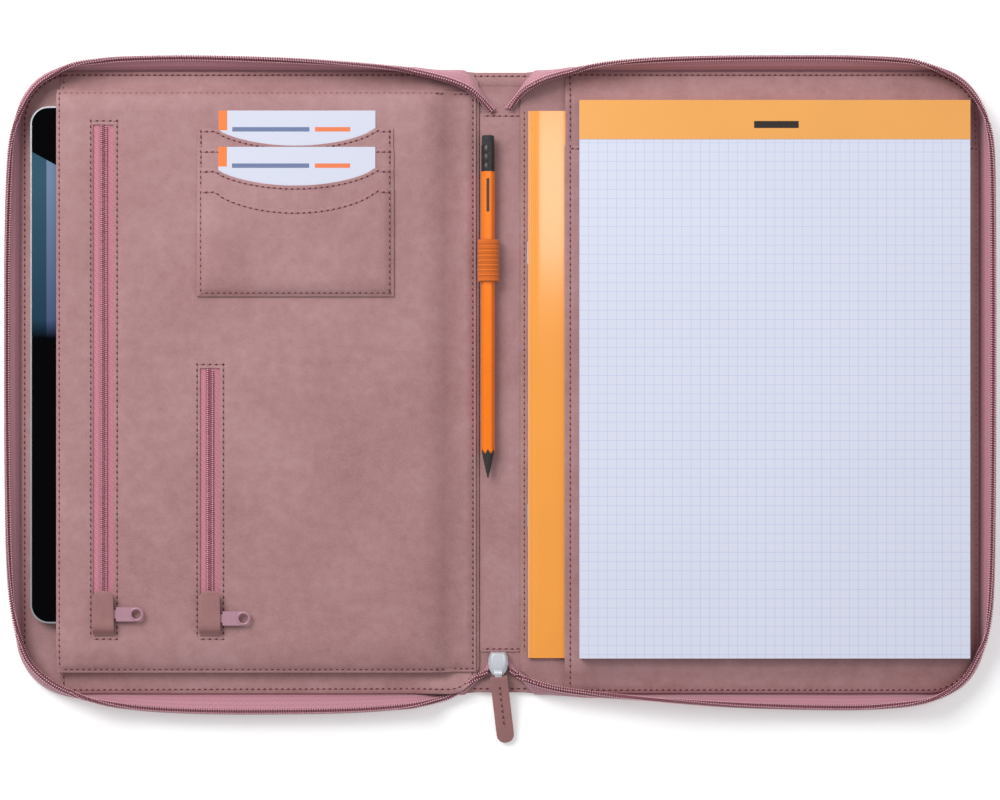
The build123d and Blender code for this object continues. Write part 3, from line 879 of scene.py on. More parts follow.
@once
def header_card():
    """Matt orange card, with a plain dark bar where the pad has its mark."""
    f = glossy_card("header_card", (0.84, 0.385, 0.10), 0.5, 0.15)
    base = f.shader.inputs["Base Color"].links[0].from_socket
    bar = f.box((136.5, 160.5), (136.6, 140.4))
    f.colour(f.mix(bar, base, (0.03, 0.022, 0.02)))
    return f.material


@once
def squared_paper():
    """Cool white sheets ruled in 5 mm squares, with the edges of the stack on its sides."""
    f = Finish("squared_paper", Roughness=0.75, Specular_IOR_Level=0.25)
    white = colours().paper
    tone = f.noise(9, 2.0)
    fibre = f.noise(1400, 2.0)
    sheet = f.mix(tone, shade(white, 0.965), shade(white, 1.03))
    ruled = f.add("ShaderNodeTexBrick", {
        "Vector": f.place(scale=(1, 1, 0), shift=(0.0023, 0.0013, 0)),
        "Color1": (0, 0, 0, 1), "Color2": (0, 0, 0, 1),
        "Mortar": (1, 1, 1, 1), "Scale": 100.0, "Mortar Size": 0.016, "Mortar Smooth": 0.3, "Brick Width": 0.5,
        "Row Height": 0.5}, offset=0.0, squash=1.0).outputs["Color"]
    top = f.maths("GREATER_THAN", f.axis("Z"), PAD_TOP_Z * MM)
    page_edges = f.bands(0.55, "Z", 1.5)
    lines = f.mix(f.maths("MULTIPLY", f.maths("MULTIPLY", ruled, top), 0.6), sheet, (0.40, 0.45, 0.74))
    side = f.mix(page_edges, shade(white, 0.74), white)
    f.colour(f.mix(top, side, lines))
    f.bump((fibre, 0.03, 0.2))
    return f.material


@once
def plain_paper():
    f = Finish("plain_paper", Roughness=0.8, Specular_IOR_Level=0.25)
    white = colours().paper
    page_edges = f.bands(0.5, "Z", 1.2)
    f.colour(f.mix(page_edges, shade(white, 0.78), white))
    return f.material


@once
def grey_board():
    f = Finish("grey_board", Roughness=0.9, Specular_IOR_Level=0.2)
    fibre = f.noise(260, 4.0, roughness=0.7)
    f.colour(f.mix(fibre, (0.24, 0.205, 0.175), (0.36, 0.315, 0.27)))
    f.bump((fibre, 0.2, 0.4))
    return f.material


@once
def visiting_card(top_mm):
    """Pale card with an orange block in its corner and two plain bars."""
    f = Finish(f"visiting_card_{int(top_mm)}", Roughness=0.5, Specular_IOR_Level=0.35)
    white = shade(colours().paper, 0.93)
    fibre = f.noise(800, 2.0)
    base = f.mix(fibre, shade(white, 0.98), shade(white, 1.02))
    for across, down, up, ink in (
        ((-151.4, -146.7), 10.6, 0.0, (0.86, 0.21, 0.05)),
        ((-144.0, -102.5), 11.3, 8.9, (0.15, 0.19, 0.34)),
        ((-99.5, -80.5), 11.3, 8.9, (0.80, 0.20, 0.08)),
    ):
        base = f.mix(f.box(across, (top_mm - down, top_mm - up)), base, ink)
    f.colour(base)
    f.bump((fibre, 0.02, 0.2))
    return f.material


@once
def screen_glass():
    """Dark glass with a painted reflection: teal and blue bands of reflected light, brighter towards the top and
    cut off along a slanting line.
    """
    f = Finish("screen_glass", Roughness=0.06, Specular_IOR_Level=0.04)
    x, y = f.axis("X"), f.axis("Y")
    # painted reflection: the area below a slanting line, fading in above 24 mm, is coloured with reflected light
    fade = f.add("ShaderNodeMapRange", {"Value": y, "From Min": 24 * MM, "From Max": 34 * MM}).outputs["Result"]
    slope = f.maths("MULTIPLY_ADD", x, -0.55, third=-0.0145)
    reflection_area = f.maths("MULTIPLY", fade, f.maths("LESS_THAN", y, slope))
    reflection_ramp = f.add("ShaderNodeMapRange", {"Value": y, "From Min": 20 * MM, "From Max": 110 * MM}).outputs["Result"]
    teal = f.mix(reflection_ramp, (0.012, 0.035, 0.065), (0.035, 0.085, 0.13))
    blue = f.mix(reflection_ramp, (0.045, 0.065, 0.15), (0.15, 0.21, 0.33))
    painted_reflection = f.mix(f.maths("GREATER_THAN", x, -244.6 * MM), teal, blue)
    smudge = f.noise(40, 3.0)
    # painted reflection over near-black glass
    f.colour(f.mix(reflection_area, (0.001, 0.001, 0.0015), painted_reflection))
    f.roughness(smudge, 0.03, 0.12)
    return f.material


@once
def studio_floor():
    f = Finish("studio_floor", Roughness=0.9, Specular_IOR_Level=0.1, Emission_Color=(1, 1, 1, 1),
               Emission_Strength=0.22)
    tone = f.noise(3, 2.0)
    f.colour(f.mix(tone, (0.93, 0.93, 0.93), (0.95, 0.95, 0.95)))
    return f.material


def dress(material, slot, *nodes):
    """A CAD node keeps its shape and gets this material."""
    for node in nodes:
        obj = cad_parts[node]
        for holder in obj.material_slots:
            holder.material = material


# ------------------------------------------------------------------------------------------------
# Pieces
# ------------------------------------------------------------------------------------------------


class CASE_OT_stage(bpy.types.Operator):
    """Lay the pale floor, hang the soft lights and set the camera straight above"""

    bl_idname = "case.stage"
    bl_label = "Stage"

    def execute(self, context):
        deselect()
        bpy.ops.mesh.primitive_plane_add(size=6, location=(0, 0, -0.0002))
        floor = named("studio_floor")
        freeze()
        paint(floor, studio_floor())

        scene = context.scene
        scene.view_settings.view_transform = "Standard"
        world = bpy.data.worlds.new("studio")
        world.use_nodes = True
        background = world.node_tree.nodes["Background"]
        background.inputs["Color"].default_value = (0.97, 0.985, 1, 1)
        background.inputs["Strength"].default_value = 0.45
        scene.world = world

        def hang(data, place, turn=(0, 0, 0)):
            holder = bpy.data.objects.new(data.name, data)
            holder.location = place
            holder.rotation_euler = turn
            scene.collection.objects.link(holder)
            return holder

        # (place, size, watts): a broad key from the upper left, a fill, and a small light for the highlights
        for place, size, power in (
            ((-0.95, 0.95, 1.35), 1.0, 26.5),
            ((1.3, 0.2, 1.6), 1.4, 5.0),
            ((-0.25, 1.3, 0.7), 0.5, 2.5),
        ):
            lamp = bpy.data.lights.new("softbox", "AREA")
            lamp.size = size
            lamp.energy = power
            hang(lamp, place, (-Vector(place)).to_track_quat("-Z", "Y").to_euler())

        # a narrow light that mirrors in the booklet's glossy cover
        strip = bpy.data.lights.new("strip_light", "AREA")
        strip.shape = "RECTANGLE"
        strip.size = 0.035
        strip.size_y = 0.19
        strip.energy = 0.5
        hang(strip, (0.058, 0.225, 1.5))

        camera = bpy.data.cameras.new("overhead")
        camera.sensor_width = 36
        camera.lens = 100
        camera.clip_end = 20
        scene.camera = hang(camera, (0, -0.0095, 1.508))
        return {"FINISHED"}


def rounded_walk(side, inset, start_x):
    """A flat line round a cover's three outer sides, from the top of its fold to the bottom."""
    radius = CORNER_R - inset
    cx, cy = COVER_END - CORNER_R, COVER_HALF - CORNER_R
    line = [(start_x, COVER_HALF - inset)]
    line += [(cx + radius * cos(radians(a)), cy + radius * sin(radians(a))) for a in range(90, -1, -6)]
    line += [(x, -y) for x, y in reversed(line)]
    return [(side * x, y) for x, y in line]


class CASE_OT_outer_leather(bpy.types.Operator):
    """Cut the outer leather in two halves that meet on the spine, and sew their rim"""

    bl_idname = "case.outer_leather"
    bl_label = "Outer leather"

    def execute(self, context):
        for side, word in SIDES:
            area = (*sorted((0.0, side * COVER_END)), -COVER_HALF, COVER_HALF)

            def trim(x, y):
                near = ease((24 - abs(x)) / 14)
                return x, y * (1 - near * (COVER_HALF - SPINE_Y) / COVER_HALF)

            def under(x, y):
                crease = 0.28 * exp(-((abs(x) - 15) / 1.4) ** 2)
                return crease * (1 - ease((abs(y) - 165) / 3))

            piece = leather_piece(
                f"{word}_outer_leather", area, under, thickness=1.0,
                corners=((side, 1, CORNER_R), (side, -1, CORNER_R)), marks_x=fold_marks(side), trim=trim, pitch=8,
                butted=True)
            paint(piece, leather())
            bend(piece, side)
            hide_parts(f"{word}_outer_skin", f"{word}_fold_skin")
            if side > 0:
                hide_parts("spine_outer_skin")

            # the cut edge turned up over the boards
            rim = rim_wall(side, f"{word}_turned_edge")
            fit(rim, "leather", side, finish=leather())

            # sewn as seen from inside, then turned over to lie on the outer face
            face = 0.02
            outside = sew(f"{word}_outer_stitching", [rounded_walk(side, 3.0, 0.0)], lambda x, y: face)
            for vertex in outside.data.vertices:
                vertex.co.z = face * MM - (vertex.co.z - face * MM) * 0.7
            outside.data.flip_normals()
            fit(outside, "leather", side)
        return {"FINISHED"}


def rim_wall(side, name):
    """A low band of leather that stands round a cover's edge, between the outer leather and the lining."""
    line = rounded_walk(side, 0.15, 0.0)
    end = [(0.0, SPINE_Y - 0.15), (side * 10.0, SPINE_Y - 0.15)]
    line = end + [(x, y) for x, y in line if abs(x) > 24] + [(x, -y) for x, y in reversed(end)]
    spots = [p for p, _ in walk([(x, y, 0) for x, y in line], 2.5, start=0.0)] + [Vector((*line[-1], 0))]

    def where(u, v):
        spot = spots[min(len(spots) - 1, round(u * (len(spots) - 1)))]
        return spot.x, spot.y, 0.7 + v * 0.95

    band = grid_sheet(name, len(spots) - 1, 2, where, 1.1, side)
    modify(band, "BEVEL", width=0.3 * MM, segments=2, limit_method="ANGLE", angle_limit=radians(60))
    soften(band)
    return band


def recalculate(obj):
    """Turns every face outwards."""
    alone(obj)
    edit("SELECT")
    bpy.ops.mesh.normals_make_consistent(inside=False)
    object_mode()


class CASE_OT_linings(bpy.types.Operator):
    """Line both covers and the spine, with the facings at its two ends"""

    bl_idname = "case.linings"
    bl_label = "Linings"

    def execute(self, context):
        left_edge, right_edge = -11.2, 11.0
        for side, word in SIDES:
            area = (-259.0, left_edge, -168.0, 168.0) if side < 0 else (right_edge, 259.0, -168.0, 168.0)
            rows = () if side < 0 else (("x", 13.2, -146.0, 146.0),)

            def under(x, y):
                return LINING_Z - pinch(x, y)

            def trim(x, y):
                away = 5.6 * ease((abs(y) - 155.5) / 5) * max(0.0, 1 - (abs(x) - 11) / 18)
                return x + side * away, y

            piece = leather_piece(
                f"{word}_lining_leather", area, under, rows=rows,
                corners=((side, 1, CORNER_R - 1), (side, -1, CORNER_R - 1)),
                marks_x=fold_marks(side) + [side * x for x in (255.5, 256.8, 258.2)],
                marks_y=(-167.2, -166, -164.6, -162, -160, -158, -156, 156, 158, 160, 162, 164.6, 166, 167.2),
                trim=trim, pitch=8)
            fit(piece, "leather", side, f"{word}_lining", f"{word}_fold_lining", finish=leather())
            if rows:
                inner = sew("right_lining_stitching", row_lines(rows), lambda x, y: under(x, y) + 0.42)
                fit(inner, "leather", side)

        ends = (("y", 144.3, -10.0, 10.0), ("y", -144.3, -10.0, 10.0))

        def strip_under(x, y):
            return 2.45 + 0.35 * ease((10.5 - abs(x)) / 5) + 0.25 * noise.noise(Vector((x / 9, y / 40, 2)))

        strip = leather_piece(
            "spine_strip_leather", (-11.0, 11.0, -145.9, 145.9), strip_under, thickness=0.8, rows=ends,
            corners=[(x, y, 1.2) for x in (1, -1) for y in (1, -1)],
            marks_x=(-9.5, -8, -6, -4, -2, 0, 2, 4, 6, 8, 9.5), pitch=6)
        fit(strip, "leather", "spine", "spine_lining", finish=leather())
        stitches = sew("spine_strip_stitching", row_lines(ends), lambda x, y: strip_under(x, y) + 0.66)
        fit(stitches, "leather", "spine")

        for end, sign in (("top", 1), ("bottom", -1)):
            y0, y1 = sorted((sign * 143.0, sign * 167.8))

            def under(x, y):
                return 2.0 + 0.5 * ease((abs(y) - 160.6) / 0.7) - 0.3 * ease((abs(y) - 166.6) / 1.2)

            for side, word in SIDES:
                x0, x1 = sorted((0.0, side * 27.0))
                row = (("y", sign * 165.9, x0, x1),)
                facing = leather_piece(
                    f"spine_facing_{end}_{word}_leather", (x0, x1, y0, y1), under, rows=row,
                    marks_x=fold_marks(side), marks_y=[sign * y for y in (160.5, 160.9, 161.3)], pitch=4,
                    butted=True)
                paint(facing, leather())
                bend(facing, side)
                if side > 0:
                    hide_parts(f"spine_facing_{end}")
                stitches = sew(f"spine_facing_{end}_{word}_stitching", row_lines(row),
                               lambda x, y: under(x, y) + 0.56)
                fit(stitches, "leather", side)
        return {"FINISHED"}


class CASE_OT_tablet_pocket(bpy.types.Operator):
    """Cut the panel that holds the tablet and sew the left cover's edge through it"""

    bl_idname = "case.tablet_pocket"
    bl_label = "Tablet pocket"

    def execute(self, context):
        rows = (("x", FRONT_EDGE + 1.5, -166.0, 166.0),)
        piece = leather_piece(
            "tablet_pocket_leather", (FRONT_EDGE, -11.5, -168.2, 168.0), front_under, rows=rows,
            corners=((1, -1, 16.0), (1, 1, 8.0)), marks_x=fold_marks(-1),
            marks_y=(-166, -163, -160, -157, -154, -151, 156, 159, 162))
        fit(piece, "leather", -1, "tablet_pocket_front", finish=leather())

        def face(x, y):
            return front_under(x, y) + 0.62 if x > FRONT_EDGE else TOP_Z - pinch(x, y)

        # round the lower corner at the spine, back on to the seam
        corner = [(-27.5 + 13.7 * cos(radians(a)), -152.2 + 13.5 * sin(radians(a))) for a in range(-90, -23, 11)]
        seam = rounded_walk(-1, SEAM_LINE, 21.0)
        top = [(x, y) for x, y in seam if y > 0]
        bottom = [(x, y) for x, y in seam if y < 0][:-1] + corner
        lines = [top + bottom[:1], bottom] + row_lines(rows)
        fit(sew("left_edge_stitching", lines, face), "leather", -1)
        return {"FINISHED"}


class CASE_OT_zip_pouch(bpy.types.Operator):
    """Cut the zip pouch's back and front, with windows for its two zips"""

    bl_idname = "case.zip_pouch"
    bl_label = "Zip pouch"

    def execute(self, context):
        back = leather_piece(
            "pouch_back_leather", POUCH, lambda x, y: POUCH_BACK_Z + left_layer(x, y, POUCH_HANG), thickness=0.5,
            marks_x=fold_marks(-1), pitch=8)
        fit(back, "leather", -1, "pouch_back", finish=leather())

        frames = ((-220.2, -206.0, -138.2, 140.7), (-163.0, -148.8, -138.2, 9.6))
        rows = frame_rows(POUCH, 1.7) + frame_rows(frames[0], 0) + frame_rows(frames[1], 0)
        windows = (LONG_WINDOW, SHORT_WINDOW)
        front = leather_piece(
            "pouch_front_leather", POUCH, pouch_under, rows=rows, windows=windows, marks_x=fold_marks(-1),
            marks_y=(-154, -152.5, 153, 154.5))
        fit(front, "leather", -1, "pouch_front", finish=leather())
        fit(sew("pouch_stitching", row_lines(rows), lambda x, y: pouch_face(x, y) - 0.15), "leather", -1)
        return {"FINISHED"}


def tooth_pair():
    """One turn from each side of a closed pouch zip, with the two threads that hold them."""
    if "pair" not in UNITS:
        pitch = sizes().pouch_pitch
        deselect()
        parts = []
        for sign in (-1, 1):
            bpy.ops.mesh.primitive_cylinder_add(
                vertices=6, radius=pitch * 0.40, depth=0.0021, location=(sign * pitch / 4, sign * 0.00095, 0),
                rotation=(pi / 2, 0, sign * 0.2))
            tooth = bpy.context.object
            freeze()
            paint(tooth, pouch_coil_nylon())
            place = (sign * pitch / 4, sign * 0.00130, 0.00048)
            parts += [bead(chain_thread(), (pitch * 0.40, 0.00036, 0.00028), place, rings=3), tooth]
        UNITS["pair"] = joined(tooth, *parts)
    return UNITS["pair"]


def flat_tape(name, area, z):
    """A strip of woven tape with a soft crown, whose UV map is in metres."""
    left, right, bottom, top = area

    def where(u, v):
        x, y = left + u * (right - left), bottom + v * (top - bottom)
        return x, y, z + swell(x, y) * 0.5 + 0.22 * (1 - (2 * u - 1) ** 2)

    def uv(u, v):
        return v * (top - bottom) * MM, u * (right - left) * MM

    tape = grid_sheet(name, 6, 40, where, 0.45, 1, uv)
    soften(tape)
    return tape


class CASE_OT_pouch_zips(bpy.types.Operator):
    """Fit the two pouch zips: tape, coil, pullers and the leather flap over each parked slider"""

    bl_idname = "case.pouch_zips"
    bl_label = "Pouch zips"

    def execute(self, context):
        for word, window, coil_x, park_y in (
            ("long", LONG_WINDOW, LONG_COIL_X, -124.6), ("short", SHORT_WINDOW, SHORT_COIL_X, -126.8),
        ):
            left, right, bottom, top = window
            behind = (left - 2.5, right + 2.5, bottom - 2.5, top + 2.5)
            tape = flat_tape(f"{word}_zip_tape_woven", behind, POUCH_TAPE_Z)
            fit(tape, "zip_tape", "left_cover", f"{word}_zip_tape", finish=pouch_zip_tape())

            line = [(coil_x, bottom + 0.4, POUCH_COIL_Z), (coil_x, top - 0.4, POUCH_COIL_Z)]
            up = Vector((0, 0, 1))
            spots = [placed((p.x, p.y, p.z + 0.2 * swell(p.x, p.y)), way, up)
                     for p, way in walk(line, sizes().pouch_pitch / MM)]
            coil = copies(f"{word}_zip_coil_turns", tooth_pair(), spots)
            fit(coil, "zip_coil", "left_cover", f"{word}_zip_coil")

            flap = garage(f"{word}_zip_flap", coil_x, bottom)
            fit(flap, "leather_dark", "left_cover", f"{word}_zip_garage", finish=flap_leather())

            body, end_x = (f"{word}_puller", coil_x + (21.7 if word == "long" else 22.0) - 3.8)
            ring = puller_rim(f"{word}_puller_rim", end_x, park_y)
            fit(ring, "puller_metal", body, finish=painted_metal())
        dress(painted_metal(), "puller_metal", "long_zip_puller", "short_zip_puller")
        dress(painted_metal(), "pouch_metal", "long_zip_slider", "short_zip_slider")
        return {"FINISHED"}


def garage(name, coil_x, bottom):
    """A leather flap that arches over the slider and turns down to its sewn end."""
    left, right = coil_x - 5.6, coil_x + 6.0
    low, high = bottom - 0.4, bottom + 23.6

    def trim(x, y):
        t = (y - low) / (high - low)
        return coil_x + 0.2 + (x - coil_x - 0.2) * (1.0 - 0.06 * ease(t)), y

    def under(x, y):
        down = 1 - ease((y - low) / 4.2)
        lift = 0.35 * ease((y - low) / 24) - 0.12 * ((x - coil_x) / 6) ** 2
        return 16.95 + lift - 3.3 * down

    piece = leather_piece(
        name, (left, right, low, high), under, thickness=0.9, corners=((1, 1, 3.6), (-1, 1, 3.6)), trim=trim,
        marks_y=(low + 0.6, low + 1.2, low + 1.8, low + 2.4, low + 3.2, low + 4.2), pitch=1.5)
    return piece


def puller_rim(name, x, y):
    """The raised rim round a puller's hole."""
    deselect()
    bpy.ops.mesh.primitive_torus_add(
        location=(x * MM, y * MM, PULLER_Z * MM), major_segments=36, minor_segments=8, major_radius=3.15 * MM,
        minor_radius=0.55 * MM)
    ring = named(name)
    freeze()
    move_points(ring, lambda px, py, pz: (
        px, py, PULLER_Z + (pz - PULLER_Z) * (0.85 if pz > PULLER_Z else 0.4)))
    soften(ring, 60)
    return ring


def dipped(edge, dip, left, right, bottom):
    """Trims a card layer: its top edge falls in a shallow arc between two shoulders."""

    def line(x):
        if not dip:
            return edge
        middle, reach = (left + right) / 2, (right - left) / 2 - 10
        t = min(1.0, abs(x - middle) / reach)
        return edge - dip * (1 - t * t) ** 0.75

    def trim(x, y):
        return x, bottom + (y - bottom) * (line(x) - bottom) / (edge - bottom)

    return line, trim


class CASE_OT_card_slots(bpy.types.Operator):
    """Cut the four stepped card layers, sew them down and finish the cards"""

    bl_idname = "case.card_slots"
    bl_label = "Card slots"

    def execute(self, context):
        left, right, bottom, top = CARD_POCKET
        layers = (("a", top, 9.4, 13.95), ("b", top - 11.0, 0.0, 14.6), ("c", top - 21.7, 9.3, 15.75),
                  ("d", top - 32.8, 11.2, 16.4))
        for index, (word, edge, dip, z) in enumerate(layers):
            line, trim = dipped(edge, dip, left, right, bottom)
            wide = 0.3 * (index % 2)
            area = (left - wide, right + wide, bottom, edge)
            sewn = (left + CARD_HEM, right - CARD_HEM)
            rows = [("x", x, bottom, edge - 1) for x in sewn]

            def under(x, y, z=z, edge=edge):
                rim = from_rim((left, right, bottom, 400), x, y)
                return z - (z - 13.6) * 0.85 * (1 - ease(rim / 4.5)) + 0.2 * swell(x, y)

            marks = [left + 10 + i * (right - left - 20) / 24 for i in range(25)]
            piece = leather_piece(
                f"card_slot_{word}_leather", area, under, thickness=0.5, rows=rows, marks_x=marks,
                marks_y=(edge - 0.6, edge - 1.6, edge - 3.0, bottom + 1, bottom + 2.4, bottom + 4.5), trim=trim)
            fit(piece, "leather", "left_cover", f"card_slot_{word}", finish=leather())

            steps = [left + 1.9 + i * (right - left - 3.8) / 70 for i in range(71)]
            hem = [(x, line(x) - CARD_HEM) for x in steps]
            below = layers[index + 1][1] if index < 3 else bottom
            lines = [hem] + [[(x, below), (x, edge - CARD_HEM)] for x in sewn]
            if index == 3:
                lines.append([(x, bottom + CARD_HEM) for x in sewn])
            stitches = sew(f"card_slot_{word}_stitching", lines, lambda x, y: under(x, y) + 0.46)
            fit(stitches, "leather", "left_cover")
        dress(visiting_card(146.2), "card", "card_upper")
        dress(visiting_card(126.5), "card", "card_lower")
        return {"FINISHED"}


# ------------------------------------------------------------------------------------------------
# The long zip round the case
# ------------------------------------------------------------------------------------------------

# The coil's line in each quarter, from the spine round to the middle of the outer side, as (|x|, |y|).
COIL_LINE = {
    ("top", -1): (
        (3.8, 146.5), (10.8, 153.5), (18.4, 159.2), (32, 164), (54, 168.8), (86, 171.6), (120, 173.5), (165, 174.8),
        (200, 174.2), (215, 173), (230.5, 170.5), (246, 163.1), (254.5, 153.8), (260, 141.2), (263.6, 121.5),
        (265.5, 72), (265.8, 0), (265.8, -10)),
    ("top", 1): (
        (4.7, 148), (10.8, 155.6), (17.6, 160.3), (27, 164.3), (40.5, 167.9), (54, 170.8), (81, 173.3),
        (121, 174.6), (175, 174.9), (199, 174.3), (214.5, 173.4), (226, 171.6), (245, 164.3), (256, 153.6),
        (262.9, 136.6),
        (265.4, 112), (266, 45), (266, 0), (266, -10)),
    ("bottom", -1): (
        (6.8, 156.3), (12.2, 159.5), (19, 165), (27, 170), (40.5, 172.9), (54, 174.9), (81, 176.8), (121, 177.6),
        (162, 177.3), (197.5, 175.1), (224.2, 169.5), (242, 161.7), (253.8, 150.3), (259.6, 134.8), (263.6, 106.3),
        (265.2, 60), (265.8, 0), (265.8, -10)),
    ("bottom", 1): (
        (5.4, 155.4), (13.5, 160.2), (27, 164.2), (40.5, 166.6), (54, 168.2), (81, 170.4), (108, 172.4), (135, 174),
        (178, 175.2), (204.5, 174.6), (231.3, 170.8), (249.2, 161), (258.7, 144.9), (262.6, 130), (264.6, 106.3),
        (265.6, 60), (266, 0), (266, -10)),
}


def smooth_line(points, steps=6):
    """A smooth flat curve through a few points."""
    points = [Vector(p) for p in points]
    line = []
    for i in range(len(points) - 1):
        before, a, b, after = points[max(0, i - 1)], points[i], points[i + 1], points[min(len(points) - 1, i + 2)]
        for n in range(steps):
            t = n / steps
            line.append(0.5 * (2 * a + (b - before) * t + (2 * before - 5 * a + 4 * b - after) * t * t
                               + (3 * a - before - 3 * b + after) * t**3))
    return line + [points[-1]]


def zip_half(quarter, tucked):
    """Stations from the spine to the middle of the outer side: (sewn point, knee, coil), for +X and +Y.

    The further out the coil lies, the lower the tape leans. A tucked tape starts under the tablet pocket.
    """
    line = smooth_line(COIL_LINE[quarter])
    corner_x, corner_y = COVER_END - CORNER_R, COVER_HALF - CORNER_R
    width = sizes().tape_width / MM
    stations = []

    def edge_y(x):
        """The sewn edge, where the case narrows a little towards its spine."""
        return COVER_HALF + SEAM_OUT - (COVER_HALF - SPINE_Y) * ease((24 - x) / 14)

    def coil_at(spot, out):
        side = [(p.x - spot[0]) * out[1] - (p.y - spot[1]) * out[0] for p in line]
        for a, b, s, t in zip(line, line[1:], side, side[1:]):
            if s * t <= 0 and s != t:
                return a + (b - a) * (s / (s - t))
        raise ValueError("the coil's line ends before the sewn edge does")

    def add(seam, out, coil=None):
        coil = coil or coil_at(seam, out)
        seam, out = Vector(seam), Vector((*out, 0)).normalized()
        reach = (Vector((*coil, seam.z)) - seam).dot(out)
        lean = radians(min(146, max(16, 20 + 17 * (5.5 - reach))))
        knee_out = reach - KNEE * width * cos(lean)
        rise = KNEE * width * sin(lean) + sqrt(max(4.0, ((1 - KNEE) * width) ** 2 - knee_out**2))
        stand = ease((coil.x - line[0].x) / 17)
        if tucked:
            stand = ease((coil.x - 30) / 17)
        low = 5.6 if tucked else 4.9
        z = low + (seam.z + rise - low) * stand
        coil = Vector((*coil, z))
        knee = coil - KNEE * width * (out * cos(lean) + Vector((0, 0, sin(lean))))
        stations.append((seam, (seam + coil) / 2 + (knee - (seam + coil) / 2) * stand, coil))

    for i in range(24):
        t = i / 24
        seam = Vector((2.6, 148.6, 3.4)) * (1 - t) ** 3 + Vector((8.0, 153.5, 3.6)) * 3 * t * (1 - t) ** 2
        seam += Vector((14.0, 165.5, 3.3)) * 3 * t * t * (1 - t) + Vector((19.0, edge_y(19.0), SEAM_Z)) * t**3
        start = line[0].x + 0.02
        x = start + (19.0 - start) * t
        add(seam, (-0.5 * (1 - t), 1), coil_at((x, 0), (0, 1)))
    x = 19.0
    while x < corner_x:
        add((x, edge_y(x), SEAM_Z), (0, 1))
        x += 0.9 if x < 50 else 3.0
    for angle in range(90, -1, -4):
        nx, ny = cos(radians(angle)), sin(radians(angle))
        reach = CORNER_R + SEAM_OUT
        add((corner_x + reach * nx, corner_y + reach * ny, SEAM_Z), (nx, ny))
    y = corner_y
    while y > 0:
        y = max(0.0, y - 4.0)
        add((COVER_END + SEAM_OUT, y, SEAM_Z), (1, 0))
    return stations


def zip_line(side):
    """The whole tape of one cover, from the top of the spine to its bottom."""
    top = zip_half(("top", side), False)
    bottom = zip_half(("bottom", side), side < 0)
    line = top + [tuple(Vector((p.x, -p.y, p.z)) for p in spots) for spots in reversed(bottom[:-1])]
    return [tuple(Vector((side * p.x, p.y, p.z)) for p in spots) for spots in line]


def standing_tape(name, side, stations):
    """The woven tape: sewn along one edge, free along the other, which carries the coil."""
    rows, last = 12, len(stations) - 1
    run = [0.0]
    for (_, _, a), (_, _, b) in zip(stations, stations[1:]):
        run.append(run[-1] + (b - a).length)
    tucks = []
    for seam, _, _ in stations:
        middle = Vector((side * min(232.0, max(19.0, side * seam.x)), min(141.0, max(-141.0, seam.y)), seam.z))
        inward = (middle - seam).normalized() if (middle - seam).length > 1 else Vector((0, 0, 0))
        tucks.append(inward * (2.4 if abs(seam.x) > 19.5 else 0.6))

    def uv(u, v):
        return run[round(u * last)] * MM, v * sizes().tape_width

    def where(u, v):
        index = min(last, round(u * last))
        seam, knee, coil = stations[index]
        v = (round(v * rows) - 1) / (rows - 1)
        if v < 0:
            return seam + tucks[index]
        end = coil + (coil - knee).normalized()
        ripple = Vector((0, 0, 0.5 * noise.noise(Vector((run[index] / 23, side * 5.0, v)))))
        return seam * (1 - v) ** 2 + knee * 2 * v * (1 - v) + end * v * v + ripple * v * (1 - v)

    tape = grid_sheet(name, last, rows, where, 0.6, uv=uv)
    soften(tape)
    return tape


def coil_turn():
    """One turn of the long zip's coil, with the sewn threads on both its faces."""
    if "turn" not in UNITS:
        pitch = sizes().tooth_pitch
        deselect()
        turn = bead(coil_nylon(), (pitch * 0.46, 0.00185, 0.00125), turn=0.2, segments=8, rings=5)
        knots = [
            bead(chain_thread(), (pitch * 0.36, 0.00042, 0.00038), (row * 0.0001, row * 0.00095, face * 0.001),
                 row * 0.5)
            for face in (-1, 1) for row in (-1, 1)
        ]
        UNITS["turn"] = joined(turn, *knots)
    return UNITS["turn"]


class CASE_OT_long_zip(bpy.types.Operator):
    """Run the long zip's two tapes and coils round the covers"""

    bl_idname = "case.long_zip"
    bl_label = "Long zip"

    def execute(self, context):
        for side, word in SIDES:
            stations = zip_line(side)
            tape = standing_tape(f"{word}_zip_tape_woven", side, stations)
            paint(tape, zip_tape())
            bend(tape, side)
            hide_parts(f"{word}_zip_tape", f"zip_end_top_{word}", f"zip_end_bottom_{word}")

            places = []
            coils = [coil for _, _, coil in stations]
            leans = [(coil - knee).normalized() for _, knee, coil in stations]
            lengths = [0.0]
            for a, b in zip(coils, coils[1:]):
                lengths.append(lengths[-1] + (b - a).length)
            for point, way in walk(coils, sizes().tooth_pitch / MM):
                near = min(range(len(coils)), key=lambda i: (coils[i] - point).length_squared)
                across = leans[near]
                places.append(placed(point, way, way.cross(across).normalized()))
            coil = copies(f"{word}_zip_coil_turns", coil_turn(), places)
            bend(coil, side)
            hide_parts(f"{word}_zip_coil")
        return {"FINISHED"}


